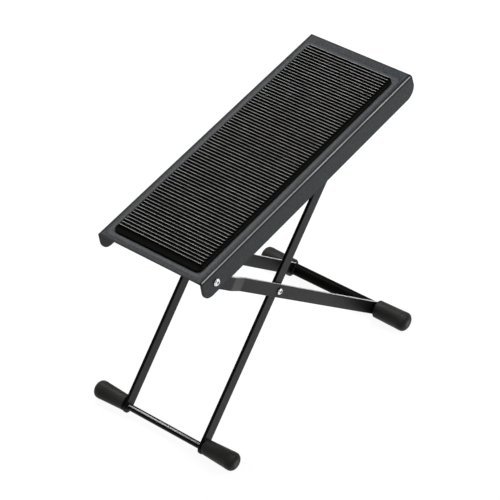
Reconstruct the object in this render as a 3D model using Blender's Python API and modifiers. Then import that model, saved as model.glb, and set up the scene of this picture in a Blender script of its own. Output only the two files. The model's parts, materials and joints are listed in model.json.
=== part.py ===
"""Folding guitar footrest.

A pressed steel foot plate with a ribbed rubber mat stands on two crossing pairs of flat
steel legs. The rear legs hinge at the low end of the plate, the front legs are riveted to
them where they cross, and a rod between the front legs' upper ends rests in notched racks
under the plate. Run it with blender --background --python part.py.
"""
import math

import bmesh
import bpy
from mathutils import Matrix

MM = 0.001

# Shared clearances
GAP = 0.3 * MM
OVERRUN = 5 * MM

# Foot plate, a steel channel with its open side down
PLATE_LENGTH = 305 * MM
PLATE_WIDTH = 115 * MM
PLATE_SHEET = 1.5 * MM
PLATE_FOLD_RADIUS = 2.2 * MM
FLANGE_DEPTH = 23.4 * MM
FLANGE_LOW_CORNER = 12 * MM
FLANGE_HIGH_CORNER = 11 * MM
FLANGE_HIGH_BULGE = 2 * MM

# Rubber mat on the plate
MAT_SIDE_MARGIN = 9.6 * MM
MAT_LOW_MARGIN = 8.8 * MM
MAT_HIGH_MARGIN = 14.8 * MM
MAT_CORNER = 5 * MM
MAT_BASE_HEIGHT = 2.6 * MM
MAT_EDGE_CHAMFER = 1.2 * MM
RIB_COUNT = 77
RIB_PITCH = 3.585 * MM
RIB_WIDTH = 1.7 * MM
RIB_HEIGHT = 1.3 * MM
RIB_FIELD_RAISE = 0.2 * MM
RIB_SIDE_MARGIN = 1.9 * MM
RIB_LOW_MARGIN = 6.2 * MM

# Fold linkage, between pivot centres
PIVOT_FROM_LOW_END = 18 * MM
PIVOT_BELOW_TOP = 12.8 * MM
LATCH_FROM_LOW_END = 210.3 * MM
PIVOT_TO_SCISSOR = 120.9 * MM
PIVOT_TO_REAR_FOOT = 316.1 * MM
SCISSOR_TO_LATCH = 142.7 * MM
SCISSOR_TO_FRONT_FOOT = 156.4 * MM

# Front leg bars
BAR_WIDTH = 12.6 * MM
BAR_THICKNESS = 3 * MM
BAR_EDGE = 0.4 * MM

# Rear leg strips, set outwards near the plate pivot
STRIP_WIDTH = 12.6 * MM
STRIP_THICKNESS = 3 * MM
STRIP_EDGE = 0.4 * MM
JOGGLE_START = 32 * MM
JOGGLE_END = 55 * MM
JOGGLE_OFFSET = 5.1 * MM
COPE_SETBACK = 3 * MM

# Cross members
LATCH_ROD_RADIUS = 3 * MM
FRONT_ROD_RADIUS = 3.2 * MM
REAR_TUBE_RADIUS = 6 * MM
REAR_TUBE_WALL = 1 * MM
ROD_CHAMFER = 0.5 * MM

# Rubber foot caps
FRONT_CAP_LENGTH = 35.6 * MM
FRONT_CAP_INNER_RADIUS = 7.6 * MM
FRONT_CAP_OUTER_RADIUS = 8.9 * MM
FRONT_CAP_TO_BAR = 0.7 * MM
FRONT_CAP_ABOVE_ROD = 1.8 * MM
REAR_CAP_LENGTH = 36.6 * MM
REAR_CAP_INNER_RADIUS = 9 * MM
REAR_CAP_OUTER_RADIUS = 9.6 * MM
REAR_CAP_TO_STRIP = 0.8 * MM
CAP_END_WALL = 8 * MM
CAP_DOME_LENGTH = 5 * MM
CAP_FACE_RADIUS = 3.8 * MM
CAP_RIM_ROUND = 1 * MM

# Rivets and washers
RIVET_SHANK_RADIUS = 2.4 * MM
PLATE_RIVET_HEAD_RADIUS = 3.8 * MM
SCISSOR_RIVET_HEAD_RADIUS = 3.2 * MM
RIVET_HEAD_HEIGHT = 1.7 * MM
RIVET_TAIL_HEIGHT = 1.5 * MM
RIVET_DIMPLE_RADIUS = 1.2 * MM
RIVET_DIMPLE_DEPTH = 0.9 * MM
SPACER_RADIUS = 7 * MM
SPACER_THICKNESS = 0.9 * MM
BACK_WASHER_RADIUS = 5.5 * MM
BACK_WASHER_THICKNESS = 1 * MM

# Notched racks under the plate
RACK_TO_BAR = 2.1 * MM
RACK_WEB_THICKNESS = 2 * MM
RACK_FOOT_WIDTH = 11 * MM
RACK_FOOT_THICKNESS = 1.5 * MM
RACK_END_MARGIN = 9 * MM
NOTCH_COUNT = 5
NOTCH_PITCH = 13 * MM
NOTCH_ROOF = 2.2 * MM
NOTCH_RAMP = 2.2 * MM
NOTCH_LIP = 1.2 * MM

# Facets
ARC_STEPS = 6
END_ARC_STEPS = 12
HOLE_STEPS = 24
TURN_STEPS = 32
RIVET_STEPS = 24
MERGE = 0.00001

# Where the layers lie, from the flanges inwards to the racks, and outwards to the caps
FLANGE_INNER_FACE = PLATE_WIDTH / 2 - PLATE_SHEET
STRIP_PIVOT_INNER_FACE = FLANGE_INNER_FACE - GAP - STRIP_THICKNESS
STRIP_INNER_FACE = STRIP_PIVOT_INNER_FACE - JOGGLE_OFFSET
STRIP_OUTER_FACE = STRIP_INNER_FACE + STRIP_THICKNESS
BAR_OUTER_FACE = STRIP_INNER_FACE - 2 * GAP - SPACER_THICKNESS
BAR_INNER_FACE = BAR_OUTER_FACE - BAR_THICKNESS
BAR_MIDDLE = BAR_INNER_FACE + BAR_THICKNESS / 2
RACK_OUTER_FACE = BAR_INNER_FACE - RACK_TO_BAR
RACK_INNER_FACE = RACK_OUTER_FACE - RACK_FOOT_WIDTH
FRONT_CAP_INNER_END = BAR_OUTER_FACE + FRONT_CAP_TO_BAR
SCISSOR_TO_FRONT_CAP = SCISSOR_TO_FRONT_FOOT - FRONT_CAP_ABOVE_ROD
REAR_CAP_INNER_END = STRIP_OUTER_FACE + REAR_CAP_TO_STRIP
MAT_WIDTH = PLATE_WIDTH - 2 * MAT_SIDE_MARGIN
HOLE_RADIUS = RIVET_SHANK_RADIUS + GAP

# Angles of the two leg pairs to the plate, from the triangle of pivot, scissor and latch
LATCH_SPAN = LATCH_FROM_LOW_END - PIVOT_FROM_LOW_END
REAR_LEG_ANGLE = math.acos((PIVOT_TO_SCISSOR ** 2 + LATCH_SPAN ** 2 - SCISSOR_TO_LATCH ** 2)
                           / (2 * PIVOT_TO_SCISSOR * LATCH_SPAN))
FRONT_LEG_ANGLE = math.acos((SCISSOR_TO_LATCH ** 2 + LATCH_SPAN ** 2 - PIVOT_TO_SCISSOR ** 2)
                            / (2 * SCISSOR_TO_LATCH * LATCH_SPAN))

PARTS_COLLECTION = "guitar_footrest"
CUTTERS_COLLECTION = "guitar_footrest_cutters"
SIDES = (("left", 1), ("right", -1))

STEEL_PLATE = ("plate_paint", (0.075, 0.078, 0.084), 0.42, 0.0)
STEEL_LEGS = ("leg_paint", (0.035, 0.035, 0.036), 0.38, 0.0)
BRIGHT_RIVET = ("bright_rivet", (0.78, 0.78, 0.78), 0.25, 1.0)
MAT_RUBBER = ("mat_rubber", (0.02, 0.02, 0.018), 0.6, 0.0)
CAP_RUBBER = ("cap_rubber", (0.018, 0.018, 0.017), 0.55, 0.0)


def clear_scene():
    """Remove every object that the file holds."""
    for item in list(bpy.data.objects):
        bpy.data.objects.remove(item, do_unlink=True)


def new_collection(name):
    """Add a collection to the scene."""
    collection = bpy.data.collections.new(name)
    bpy.context.scene.collection.children.link(collection)
    return collection


def new_material(finish, name):
    """Make one piece's own material from a finish."""
    slot, colour, roughness, metallic = finish
    material = bpy.data.materials.new(f"{slot}_{name}")
    material.use_nodes = True
    shader = material.node_tree.nodes["Principled BSDF"]
    shader.inputs["Base Color"].default_value = (*colour, 1)
    shader.inputs["Roughness"].default_value = roughness
    shader.inputs["Metallic"].default_value = metallic
    return material


def new_frame(name, parent, location, pitch):
    """Add an empty that carries the pieces of one rigid body, turned about the width axis."""
    frame = bpy.data.objects.new(name, None)
    frame.parent = parent
    frame.location = location
    frame.rotation_euler = (0, pitch, 0)
    parts.objects.link(frame)
    return frame


def add_piece(name, mesh, frame, finish):
    """Add a finished solid to a frame under its own name and material."""
    piece = bpy.data.objects.new(name, mesh)
    piece.parent = frame
    mesh.materials.append(new_material(finish, name))
    parts.objects.link(piece)
    return piece


def add_cutter(name, mesh, frame):
    """Add a guide solid that only serves a Boolean."""
    tool = bpy.data.objects.new(name, mesh)
    tool.parent = frame
    tool.hide_render = True
    tool.display_type = "WIRE"
    cutters.objects.link(tool)
    return tool


def combine(piece, tool, operation):
    """Cut, join or trim a piece with a guide solid."""
    step = piece.modifiers.new(f"{operation.lower()}_{tool.name}", "BOOLEAN")
    step.operation = operation
    step.object = tool
    step.solver = "EXACT"


def break_edges(piece, width):
    """Take the sharpness off the edges of a flat steel piece."""
    step = piece.modifiers.new("broken_edges", "BEVEL")
    step.width = width
    step.segments = 1
    step.limit_method = "ANGLE"


def arc(centre, radius, start, end, steps):
    """Points on an arc, both ends included; angles in degrees."""
    points = []
    for step in range(steps + 1):
        angle = math.radians(start + (end - start) * step / steps)
        points.append((centre[0] + radius * math.cos(angle), centre[1] + radius * math.sin(angle)))
    return points


def circle(centre, radius, steps):
    """Points of a whole circle."""
    return arc(centre, radius, 0, 360, steps)[:-1]


def outline_mesh(name, outlines, thickness, placing):
    """Fill flat outlines, extrude them to a thickness and put the solid where it belongs."""
    curve = bpy.data.curves.new(name, "CURVE")
    curve.dimensions = "2D"
    curve.fill_mode = "BOTH"
    curve.extrude = thickness / 2
    for outline in outlines:
        spline = curve.splines.new("POLY")
        spline.points.add(len(outline) - 1)
        spline.use_cyclic_u = True
        for point, place in zip(spline.points, outline):
            point.co = (place[0], place[1], 0, 1)
    holder = bpy.data.objects.new(name, curve)
    cutters.objects.link(holder)
    shaped = holder.evaluated_get(bpy.context.evaluated_depsgraph_get())
    mesh = bpy.data.meshes.new_from_object(shaped)
    bpy.data.objects.remove(holder, do_unlink=True)
    bpy.data.curves.remove(curve)
    solid = bmesh.new()
    solid.from_mesh(mesh)
    bmesh.ops.remove_doubles(solid, verts=solid.verts, dist=MERGE)
    bmesh.ops.transform(solid, matrix=placing, verts=solid.verts)
    bmesh.ops.recalc_face_normals(solid, faces=solid.faces)
    solid.to_mesh(mesh)
    solid.free()
    return mesh


def side_placing(middle):
    """Stand a flat outline up in the side view, its middle plane this far from the centre."""
    return Matrix.Translation((0, middle, 0)) @ Matrix.Rotation(math.pi / 2, 4, "X")


def across_placing(start):
    """Turn a flat outline into a cross-section that is extruded along the length."""
    turn = Matrix(((0, 0, 1, 0), (1, 0, 0, 0), (0, 1, 0, 0), (0, 0, 0, 1)))
    return Matrix.Translation((start, 0, 0)) @ turn


def box_mesh(name, boxes):
    """One mesh of boxes, each given by its low and high corners."""
    solid = bmesh.new()
    for low, high in boxes:
        size = [high[i] - low[i] for i in range(3)]
        middle = [(high[i] + low[i]) / 2 for i in range(3)]
        placing = Matrix.Translation(middle) @ Matrix.Diagonal((*size, 1))
        bmesh.ops.create_cube(solid, size=1, matrix=placing)
    mesh = bpy.data.meshes.new(name)
    solid.to_mesh(mesh)
    solid.free()
    return mesh


def cross_hole(name, frame, place, radius, reach):
    """A guide cylinder across the whole object, centred at one place of a side view."""
    solid = bmesh.new()
    placing = Matrix.Translation((place[0], 0, place[1])) @ Matrix.Rotation(math.pi / 2, 4, "X")
    bmesh.ops.create_cone(solid, cap_ends=True, segments=HOLE_STEPS, radius1=radius,
                          radius2=radius, depth=2 * reach, matrix=placing)
    mesh = bpy.data.meshes.new(name)
    solid.to_mesh(mesh)
    solid.free()
    return add_cutter(name, mesh, frame)


def turned_piece(name, profile, frame, place, side, finish, steps, closed=False):
    """Turn a profile of (radius, height) pairs about a cross axis, height running outwards."""
    mesh = bpy.data.meshes.new(name)
    points = [(radius, 0, height) for radius, height in profile]
    edges = [(i, i + 1) for i in range(len(points) - 1)]
    if closed:
        edges.append((len(points) - 1, 0))
    mesh.from_pydata(points, edges, [])
    piece = add_piece(name, mesh, frame, finish)
    piece.location = (place[0], 0, place[1])
    piece.rotation_euler = (-side * math.pi / 2, 0, 0)
    turn = piece.modifiers.new("turn", "SCREW")
    turn.steps = steps
    turn.render_steps = steps
    turn.use_merge_vertices = True
    turn.merge_threshold = MERGE
    turn.use_smooth_shade = True
    return piece


def flange_outline():
    """Side view of the foot plate: along the plate, and down from its top as negative."""
    low_centre = (FLANGE_LOW_CORNER, FLANGE_LOW_CORNER - FLANGE_DEPTH)
    high_centre = (PLATE_LENGTH + FLANGE_HIGH_BULGE - FLANGE_HIGH_CORNER,
                   FLANGE_HIGH_CORNER - FLANGE_DEPTH)
    points = [(0, 0)]
    points += arc(low_centre, FLANGE_LOW_CORNER, 180, 270, END_ARC_STEPS)
    points += arc(high_centre, FLANGE_HIGH_CORNER, 270, 360, END_ARC_STEPS)
    points.append((PLATE_LENGTH, 0))
    return points


def channel_section():
    """Cross-section of the folded sheet: across the plate, and down as negative."""
    half = PLATE_WIDTH / 2
    inner_radius = PLATE_FOLD_RADIUS - PLATE_SHEET
    depth = FLANGE_DEPTH + OVERRUN
    fold_left = (PLATE_FOLD_RADIUS - half, -PLATE_FOLD_RADIUS)
    fold_right = (half - PLATE_FOLD_RADIUS, -PLATE_FOLD_RADIUS)
    points = [(-half, -depth)]
    points += arc(fold_left, PLATE_FOLD_RADIUS, 180, 90, ARC_STEPS)
    points += arc(fold_right, PLATE_FOLD_RADIUS, 90, 0, ARC_STEPS)
    points += [(half, -depth), (half - PLATE_SHEET, -depth)]
    points += arc(fold_right, inner_radius, 0, 90, ARC_STEPS)
    points += arc(fold_left, inner_radius, 90, 180, ARC_STEPS)
    points.append((PLATE_SHEET - half, -depth))
    return points


def make_foot_plate():
    """The pressed channel, its rounded flange ends and the two pivot holes."""
    whole_length = PLATE_LENGTH + FLANGE_HIGH_BULGE + 2 * OVERRUN
    placing = across_placing(whole_length / 2 - OVERRUN)
    mesh = outline_mesh("foot_plate", [channel_section()], whole_length, placing)
    plate = add_piece("foot_plate", mesh, plate_frame, STEEL_PLATE)
    trim_width = PLATE_WIDTH + 2 * OVERRUN
    trim = outline_mesh("flange_ends", [flange_outline()], trim_width, side_placing(0))
    combine(plate, add_cutter("flange_ends", trim, plate_frame), "INTERSECT")
    hole = cross_hole("plate_pivot_hole", plate_frame, (PIVOT_FROM_LOW_END, -PIVOT_BELOW_TOP),
                      HOLE_RADIUS, PLATE_WIDTH)
    combine(plate, hole, "DIFFERENCE")


def make_rubber_mat():
    """The mat: a slab with rounded corners and chamfered edge, and its raised cross ribs."""
    low = MAT_LOW_MARGIN
    high = PLATE_LENGTH - MAT_HIGH_MARGIN
    half = MAT_WIDTH / 2
    outline = arc((high - MAT_CORNER, half - MAT_CORNER), MAT_CORNER, 0, 90, ARC_STEPS)
    outline += arc((low + MAT_CORNER, half - MAT_CORNER), MAT_CORNER, 90, 180, ARC_STEPS)
    outline += arc((low + MAT_CORNER, MAT_CORNER - half), MAT_CORNER, 180, 270, ARC_STEPS)
    outline += arc((high - MAT_CORNER, MAT_CORNER - half), MAT_CORNER, 270, 360, ARC_STEPS)
    placing = Matrix.Translation((0, 0, GAP + MAT_BASE_HEIGHT / 2))
    mesh = outline_mesh("rubber_mat", [outline], MAT_BASE_HEIGHT, placing)
    mat = add_piece("rubber_mat", mesh, plate_frame, MAT_RUBBER)
    chamfer_top_rim(mesh)
    field_width = MAT_WIDTH - 2 * RIB_SIDE_MARGIN
    field = outline_mesh("mat_ribs", [rib_outline()], field_width, side_placing(0))
    combine(mat, add_cutter("mat_ribs", field, plate_frame), "UNION")


def rib_outline():
    """Side view of the ribbed field, from inside the slab to the rib tops."""
    foot = GAP + MAT_BASE_HEIGHT / 2
    floor = GAP + MAT_BASE_HEIGHT + RIB_FIELD_RAISE
    top = floor + RIB_HEIGHT
    start = MAT_LOW_MARGIN + RIB_LOW_MARGIN
    points = [(start, foot)]
    for index in range(RIB_COUNT):
        low = start + index * RIB_PITCH
        high = low + RIB_WIDTH
        if index:
            points.append((low, floor))
        points += [(low, top), (high, top)]
        if index < RIB_COUNT - 1:
            points.append((high, floor))
    points.append((high, foot))
    return points


def chamfer_top_rim(mesh):
    """Chamfer the rim round a slab's upper face."""
    solid = bmesh.new()
    solid.from_mesh(mesh)
    top = max(vert.co.z for vert in solid.verts) - MERGE
    rim = [edge for edge in solid.edges
           if min(vert.co.z for vert in edge.verts) > top and edge.calc_face_angle(0) > 1]
    bmesh.ops.bevel(solid, geom=rim, offset=MAT_EDGE_CHAMFER, segments=1, affect="EDGES")
    solid.to_mesh(mesh)
    solid.free()


def rack_outline():
    """Side view of a rack web with its hooked notches, which open downwards."""
    top = -PLATE_SHEET - GAP
    tips = LATCH_ROD_RADIUS + GAP - PIVOT_BELOW_TOP
    radius = LATCH_ROD_RADIUS + GAP
    roof = top - NOTCH_ROOF
    low = LATCH_FROM_LOW_END - RACK_END_MARGIN
    high = LATCH_FROM_LOW_END + (NOTCH_COUNT - 1) * NOTCH_PITCH + RACK_END_MARGIN
    points = [(low, top), (low, tips)]
    for index in range(NOTCH_COUNT):
        middle = LATCH_FROM_LOW_END + index * NOTCH_PITCH
        points.append((middle - radius - NOTCH_RAMP, tips))
        points += arc((middle, roof - radius), radius, 180, 0, ARC_STEPS)
        points.append((middle + radius - NOTCH_LIP, tips))
    points += [(high, tips), (high, top)]
    return points


def make_racks():
    """The two notched racks, each an angle with its foot welded under the plate."""
    top = -PLATE_SHEET - GAP
    outline = rack_outline()
    low = min(point[0] for point in outline)
    high = max(point[0] for point in outline)
    for label, side in SIDES:
        name = f"notch_rack_{label}"
        middle = side * (RACK_INNER_FACE + RACK_WEB_THICKNESS / 2)
        mesh = outline_mesh(name, [outline], RACK_WEB_THICKNESS, side_placing(middle))
        rack = add_piece(name, mesh, plate_frame, STEEL_LEGS)
        reach = sorted((middle, side * RACK_OUTER_FACE))
        foot = box_mesh(f"rack_foot_{label}", [((low, reach[0], top - RACK_FOOT_THICKNESS),
                                                (high, reach[1], top))])
        combine(rack, add_cutter(f"rack_foot_{label}", foot, plate_frame), "UNION")


def bar_outline():
    """Side view of a front leg bar with its three holes, from the scissor pivot."""
    radius = BAR_WIDTH / 2
    outline = arc((SCISSOR_TO_LATCH, 0), radius, -90, 90, END_ARC_STEPS)
    outline += arc((-SCISSOR_TO_FRONT_FOOT, 0), radius, 90, 270, END_ARC_STEPS)
    latch_hole = circle((SCISSOR_TO_LATCH, 0), LATCH_ROD_RADIUS + GAP, HOLE_STEPS)
    foot_hole = circle((-SCISSOR_TO_FRONT_FOOT, 0), FRONT_ROD_RADIUS + GAP, HOLE_STEPS)
    return [outline, circle((0, 0), HOLE_RADIUS, HOLE_STEPS), latch_hole, foot_hole]


def make_front_leg_bars():
    """The two straight flat bars of the front legs."""
    for label, side in SIDES:
        name = f"front_leg_bar_{label}"
        mesh = outline_mesh(name, bar_outline(), BAR_THICKNESS, side_placing(side * BAR_MIDDLE))
        bar = add_piece(name, mesh, front_frame, STEEL_LEGS)
        break_edges(bar, BAR_EDGE)


def strip_edge_outline(side):
    """Edge view of a rear leg strip: along the leg, and outwards from the middle plane."""
    start = -STRIP_WIDTH
    end = PIVOT_TO_REAR_FOOT
    near = STRIP_PIVOT_INNER_FACE
    far = STRIP_INNER_FACE
    outer = [(start, near + STRIP_THICKNESS), (JOGGLE_START, near + STRIP_THICKNESS),
             (JOGGLE_END, STRIP_OUTER_FACE), (end, STRIP_OUTER_FACE)]
    inner = [(end, far), (JOGGLE_END, far), (JOGGLE_START, near), (start, near)]
    return [(along, side * out) for along, out in outer + inner]


def strip_face_outline():
    """Side view of a rear leg strip: a round upper end and a lower end coped to the tube."""
    radius = STRIP_WIDTH / 2
    cope = REAR_TUBE_RADIUS + GAP
    end = PIVOT_TO_REAR_FOOT - COPE_SETBACK
    opening = math.degrees(math.acos(COPE_SETBACK / cope))
    outline = arc((0, 0), radius, 90, 270, END_ARC_STEPS)
    outline.append((end, -radius))
    outline += arc((PIVOT_TO_REAR_FOOT, 0), cope, 180 + opening, 180 - opening, END_ARC_STEPS)
    outline.append((end, radius))
    return [outline, circle((0, 0), HOLE_RADIUS, HOLE_STEPS),
            circle((PIVOT_TO_SCISSOR, 0), HOLE_RADIUS, HOLE_STEPS)]


def make_rear_leg_strips():
    """The two rear leg strips, joggled out to the flanges near their hinge."""
    face = outline_mesh("strip_face", strip_face_outline(), PLATE_WIDTH, side_placing(0))
    face_tool = add_cutter("strip_face", face, rear_frame)
    for label, side in SIDES:
        name = f"rear_leg_strip_{label}"
        mesh = outline_mesh(name, [strip_edge_outline(side)], STRIP_WIDTH + OVERRUN, Matrix())
        strip = add_piece(name, mesh, rear_frame, STEEL_LEGS)
        combine(strip, face_tool, "INTERSECT")
        break_edges(strip, STRIP_EDGE)


def rod_profile(radius, half_length):
    """Half profile of a plain rod with chamfered ends."""
    return [(0, half_length), (radius - ROD_CHAMFER, half_length),
            (radius, half_length - ROD_CHAMFER), (radius, ROD_CHAMFER - half_length),
            (radius - ROD_CHAMFER, -half_length), (0, -half_length)]


def make_cross_members():
    """The front foot rod, the latch rod and the rear foot tube."""
    front_reach = FRONT_CAP_INNER_END + FRONT_CAP_LENGTH - CAP_END_WALL - GAP
    rear_reach = REAR_CAP_INNER_END + REAR_CAP_LENGTH - CAP_END_WALL - GAP
    bore = REAR_TUBE_RADIUS - REAR_TUBE_WALL
    turned_piece("front_cross_rod", rod_profile(FRONT_ROD_RADIUS, front_reach), front_frame,
                 (-SCISSOR_TO_FRONT_FOOT, 0), 1, STEEL_LEGS, TURN_STEPS)
    turned_piece("latch_rod", rod_profile(LATCH_ROD_RADIUS, BAR_OUTER_FACE), front_frame,
                 (SCISSOR_TO_LATCH, 0), 1, STEEL_LEGS, TURN_STEPS)
    tube = [(bore, rear_reach), (REAR_TUBE_RADIUS, rear_reach),
            (REAR_TUBE_RADIUS, -rear_reach), (bore, -rear_reach)]
    turned_piece("rear_cross_tube", tube, rear_frame, (PIVOT_TO_REAR_FOOT, 0), 1, STEEL_LEGS,
                 TURN_STEPS, closed=True)


def cap_profile(length, inner_radius, outer_radius, inner_end):
    """Outside of a rubber cap as a half profile: domed outer end and slight taper."""
    end = inner_end + length
    shoulder = end - CAP_DOME_LENGTH
    profile = [(0, end), (CAP_FACE_RADIUS, end)]
    for step in range(1, ARC_STEPS + 1):
        angle = math.pi / 2 * step / ARC_STEPS
        profile.append((CAP_FACE_RADIUS + (outer_radius - CAP_FACE_RADIUS) * math.sin(angle),
                        shoulder + CAP_DOME_LENGTH * math.cos(angle)))
    profile += [(inner_radius, inner_end + CAP_RIM_ROUND),
                (inner_radius - CAP_RIM_ROUND, inner_end), (0, inner_end)]
    return profile


def make_foot_caps():
    """The four rubber caps; the front ones sit a little up the bars from the rod's centre."""
    front = cap_profile(FRONT_CAP_LENGTH, FRONT_CAP_INNER_RADIUS, FRONT_CAP_OUTER_RADIUS,
                        FRONT_CAP_INNER_END)
    rear = cap_profile(REAR_CAP_LENGTH, REAR_CAP_INNER_RADIUS, REAR_CAP_OUTER_RADIUS,
                       REAR_CAP_INNER_END)
    front_socket = cross_hole("front_cap_sockets", front_frame, (-SCISSOR_TO_FRONT_FOOT, 0),
                              FRONT_ROD_RADIUS + GAP,
                              FRONT_CAP_INNER_END + FRONT_CAP_LENGTH - CAP_END_WALL)
    rear_socket = cross_hole("rear_cap_sockets", rear_frame, (PIVOT_TO_REAR_FOOT, 0),
                             REAR_TUBE_RADIUS + GAP,
                             REAR_CAP_INNER_END + REAR_CAP_LENGTH - CAP_END_WALL)
    for label, side in SIDES:
        front_cap = turned_piece(f"front_foot_cap_{label}", front, front_frame,
                                 (-SCISSOR_TO_FRONT_CAP, 0), side, CAP_RUBBER, TURN_STEPS)
        combine(front_cap, front_socket, "DIFFERENCE")
        rear_cap = turned_piece(f"rear_foot_cap_{label}", rear, rear_frame,
                                (PIVOT_TO_REAR_FOOT, 0), side, CAP_RUBBER, TURN_STEPS)
        combine(rear_cap, rear_socket, "DIFFERENCE")


def rivet_profile(head_radius, head_foot, tail_foot):
    """Half profile of a semi-tubular rivet: domed head with a dimple, shank and flat tail."""
    profile = [(0, head_foot + RIVET_HEAD_HEIGHT - RIVET_DIMPLE_DEPTH),
               (RIVET_DIMPLE_RADIUS / 2, head_foot + RIVET_HEAD_HEIGHT - RIVET_DIMPLE_DEPTH)]
    for step in range(ARC_STEPS + 1):
        angle = math.pi / 2 * step / ARC_STEPS
        profile.append((RIVET_DIMPLE_RADIUS + (head_radius - RIVET_DIMPLE_RADIUS) * math.sin(angle),
                        head_foot + RIVET_HEAD_HEIGHT * math.cos(angle)))
    tail_round = RIVET_TAIL_HEIGHT / 2
    profile += [(RIVET_SHANK_RADIUS, head_foot), (RIVET_SHANK_RADIUS, tail_foot),
                (head_radius, tail_foot), (head_radius, tail_foot - tail_round),
                (head_radius - tail_round, tail_foot - RIVET_TAIL_HEIGHT),
                (0, tail_foot - RIVET_TAIL_HEIGHT)]
    return profile


def washer_profile(radius, inner_face, thickness):
    """Half section of a washer, as a closed loop."""
    return [(HOLE_RADIUS, inner_face + thickness), (radius, inner_face + thickness),
            (radius, inner_face), (HOLE_RADIUS, inner_face)]


def make_rivets_and_washers():
    """The plate pivot rivets with their back washers, and the scissor rivets with spacers."""
    back_face = STRIP_PIVOT_INNER_FACE - GAP - BACK_WASHER_THICKNESS
    plate_rivet = rivet_profile(PLATE_RIVET_HEAD_RADIUS, PLATE_WIDTH / 2 + GAP, back_face - GAP)
    back_washer = washer_profile(BACK_WASHER_RADIUS, back_face, BACK_WASHER_THICKNESS)
    scissor_rivet = rivet_profile(SCISSOR_RIVET_HEAD_RADIUS,
                                  STRIP_OUTER_FACE + GAP, BAR_INNER_FACE - GAP)
    spacer = washer_profile(SPACER_RADIUS, BAR_OUTER_FACE + GAP, SPACER_THICKNESS)
    pivot = (PIVOT_FROM_LOW_END, -PIVOT_BELOW_TOP)
    scissor = (PIVOT_TO_SCISSOR, 0)
    for label, side in SIDES:
        turned_piece(f"plate_rivet_{label}", plate_rivet, plate_frame, pivot, side,
                     BRIGHT_RIVET, RIVET_STEPS)
        turned_piece(f"plate_rivet_washer_{label}", back_washer, plate_frame, pivot, side,
                     BRIGHT_RIVET, RIVET_STEPS, closed=True)
        turned_piece(f"scissor_rivet_{label}", scissor_rivet, rear_frame, scissor, side,
                     BRIGHT_RIVET, RIVET_STEPS)
        turned_piece(f"scissor_spacer_{label}", spacer, rear_frame, scissor, side,
                     STEEL_LEGS, RIVET_STEPS, closed=True)


def plate_pitch(front_foot, rear_foot):
    """Tilt at which both pairs of caps touch the floor, from their places under the plate."""
    along = front_foot[0] - rear_foot[0]
    down = front_foot[1] - rear_foot[1]
    reach = math.hypot(along, down)
    lean = math.asin((FRONT_CAP_OUTER_RADIUS - REAR_CAP_OUTER_RADIUS) / reach)
    return math.atan2(down, along) + math.pi - lean


def standing_place():
    """The plate's tilt and the place of its low top edge, origin at the middle of the floor."""
    scissor = (PIVOT_FROM_LOW_END + PIVOT_TO_SCISSOR * math.cos(REAR_LEG_ANGLE),
               PIVOT_BELOW_TOP + PIVOT_TO_SCISSOR * math.sin(REAR_LEG_ANGLE))
    front_foot = (scissor[0] - SCISSOR_TO_FRONT_CAP * math.cos(FRONT_LEG_ANGLE),
                  scissor[1] + SCISSOR_TO_FRONT_CAP * math.sin(FRONT_LEG_ANGLE))
    rear_foot = (PIVOT_FROM_LOW_END + PIVOT_TO_REAR_FOOT * math.cos(REAR_LEG_ANGLE),
                 PIVOT_BELOW_TOP + PIVOT_TO_REAR_FOOT * math.sin(REAR_LEG_ANGLE))
    pitch = plate_pitch(front_foot, rear_foot)
    height = (FRONT_CAP_OUTER_RADIUS + front_foot[1] * math.cos(pitch)
              - front_foot[0] * math.sin(pitch))
    reaches = []
    for foot, radius in ((front_foot, FRONT_CAP_OUTER_RADIUS), (rear_foot, REAR_CAP_OUTER_RADIUS)):
        middle = foot[0] * math.cos(pitch) + foot[1] * math.sin(pitch)
        reaches += [middle - radius, middle + radius]
    reaches += [point[0] * math.cos(pitch) - point[1] * math.sin(pitch)
                for point in flange_outline()]
    return pitch, (-(min(reaches) + max(reaches)) / 2, 0, height)


clear_scene()
parts = new_collection(PARTS_COLLECTION)
cutters = new_collection(CUTTERS_COLLECTION)
tilt, low_edge = standing_place()
plate_frame = new_frame("plate_frame", None, low_edge, -tilt)
rear_frame = new_frame("rear_leg_frame", plate_frame,
                       (PIVOT_FROM_LOW_END, 0, -PIVOT_BELOW_TOP), REAR_LEG_ANGLE)
front_frame = new_frame("front_leg_frame", rear_frame, (PIVOT_TO_SCISSOR, 0, 0),
                        -REAR_LEG_ANGLE - FRONT_LEG_ANGLE)
make_foot_plate()
make_rubber_mat()
make_racks()
make_front_leg_bars()
make_rear_leg_strips()
make_cross_members()
make_foot_caps()
make_rivets_and_washers()
bpy.context.view_layer.update()
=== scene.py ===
"""Dresses the packed guitar footrest: finished pieces, paints, stage and camera."""
import json
import math

import bmesh
import bpy
from bpy.props import FloatProperty, FloatVectorProperty, IntProperty, PointerProperty
from bpy.types import Operator, Panel, PropertyGroup
from mathutils import Matrix, Vector


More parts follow.
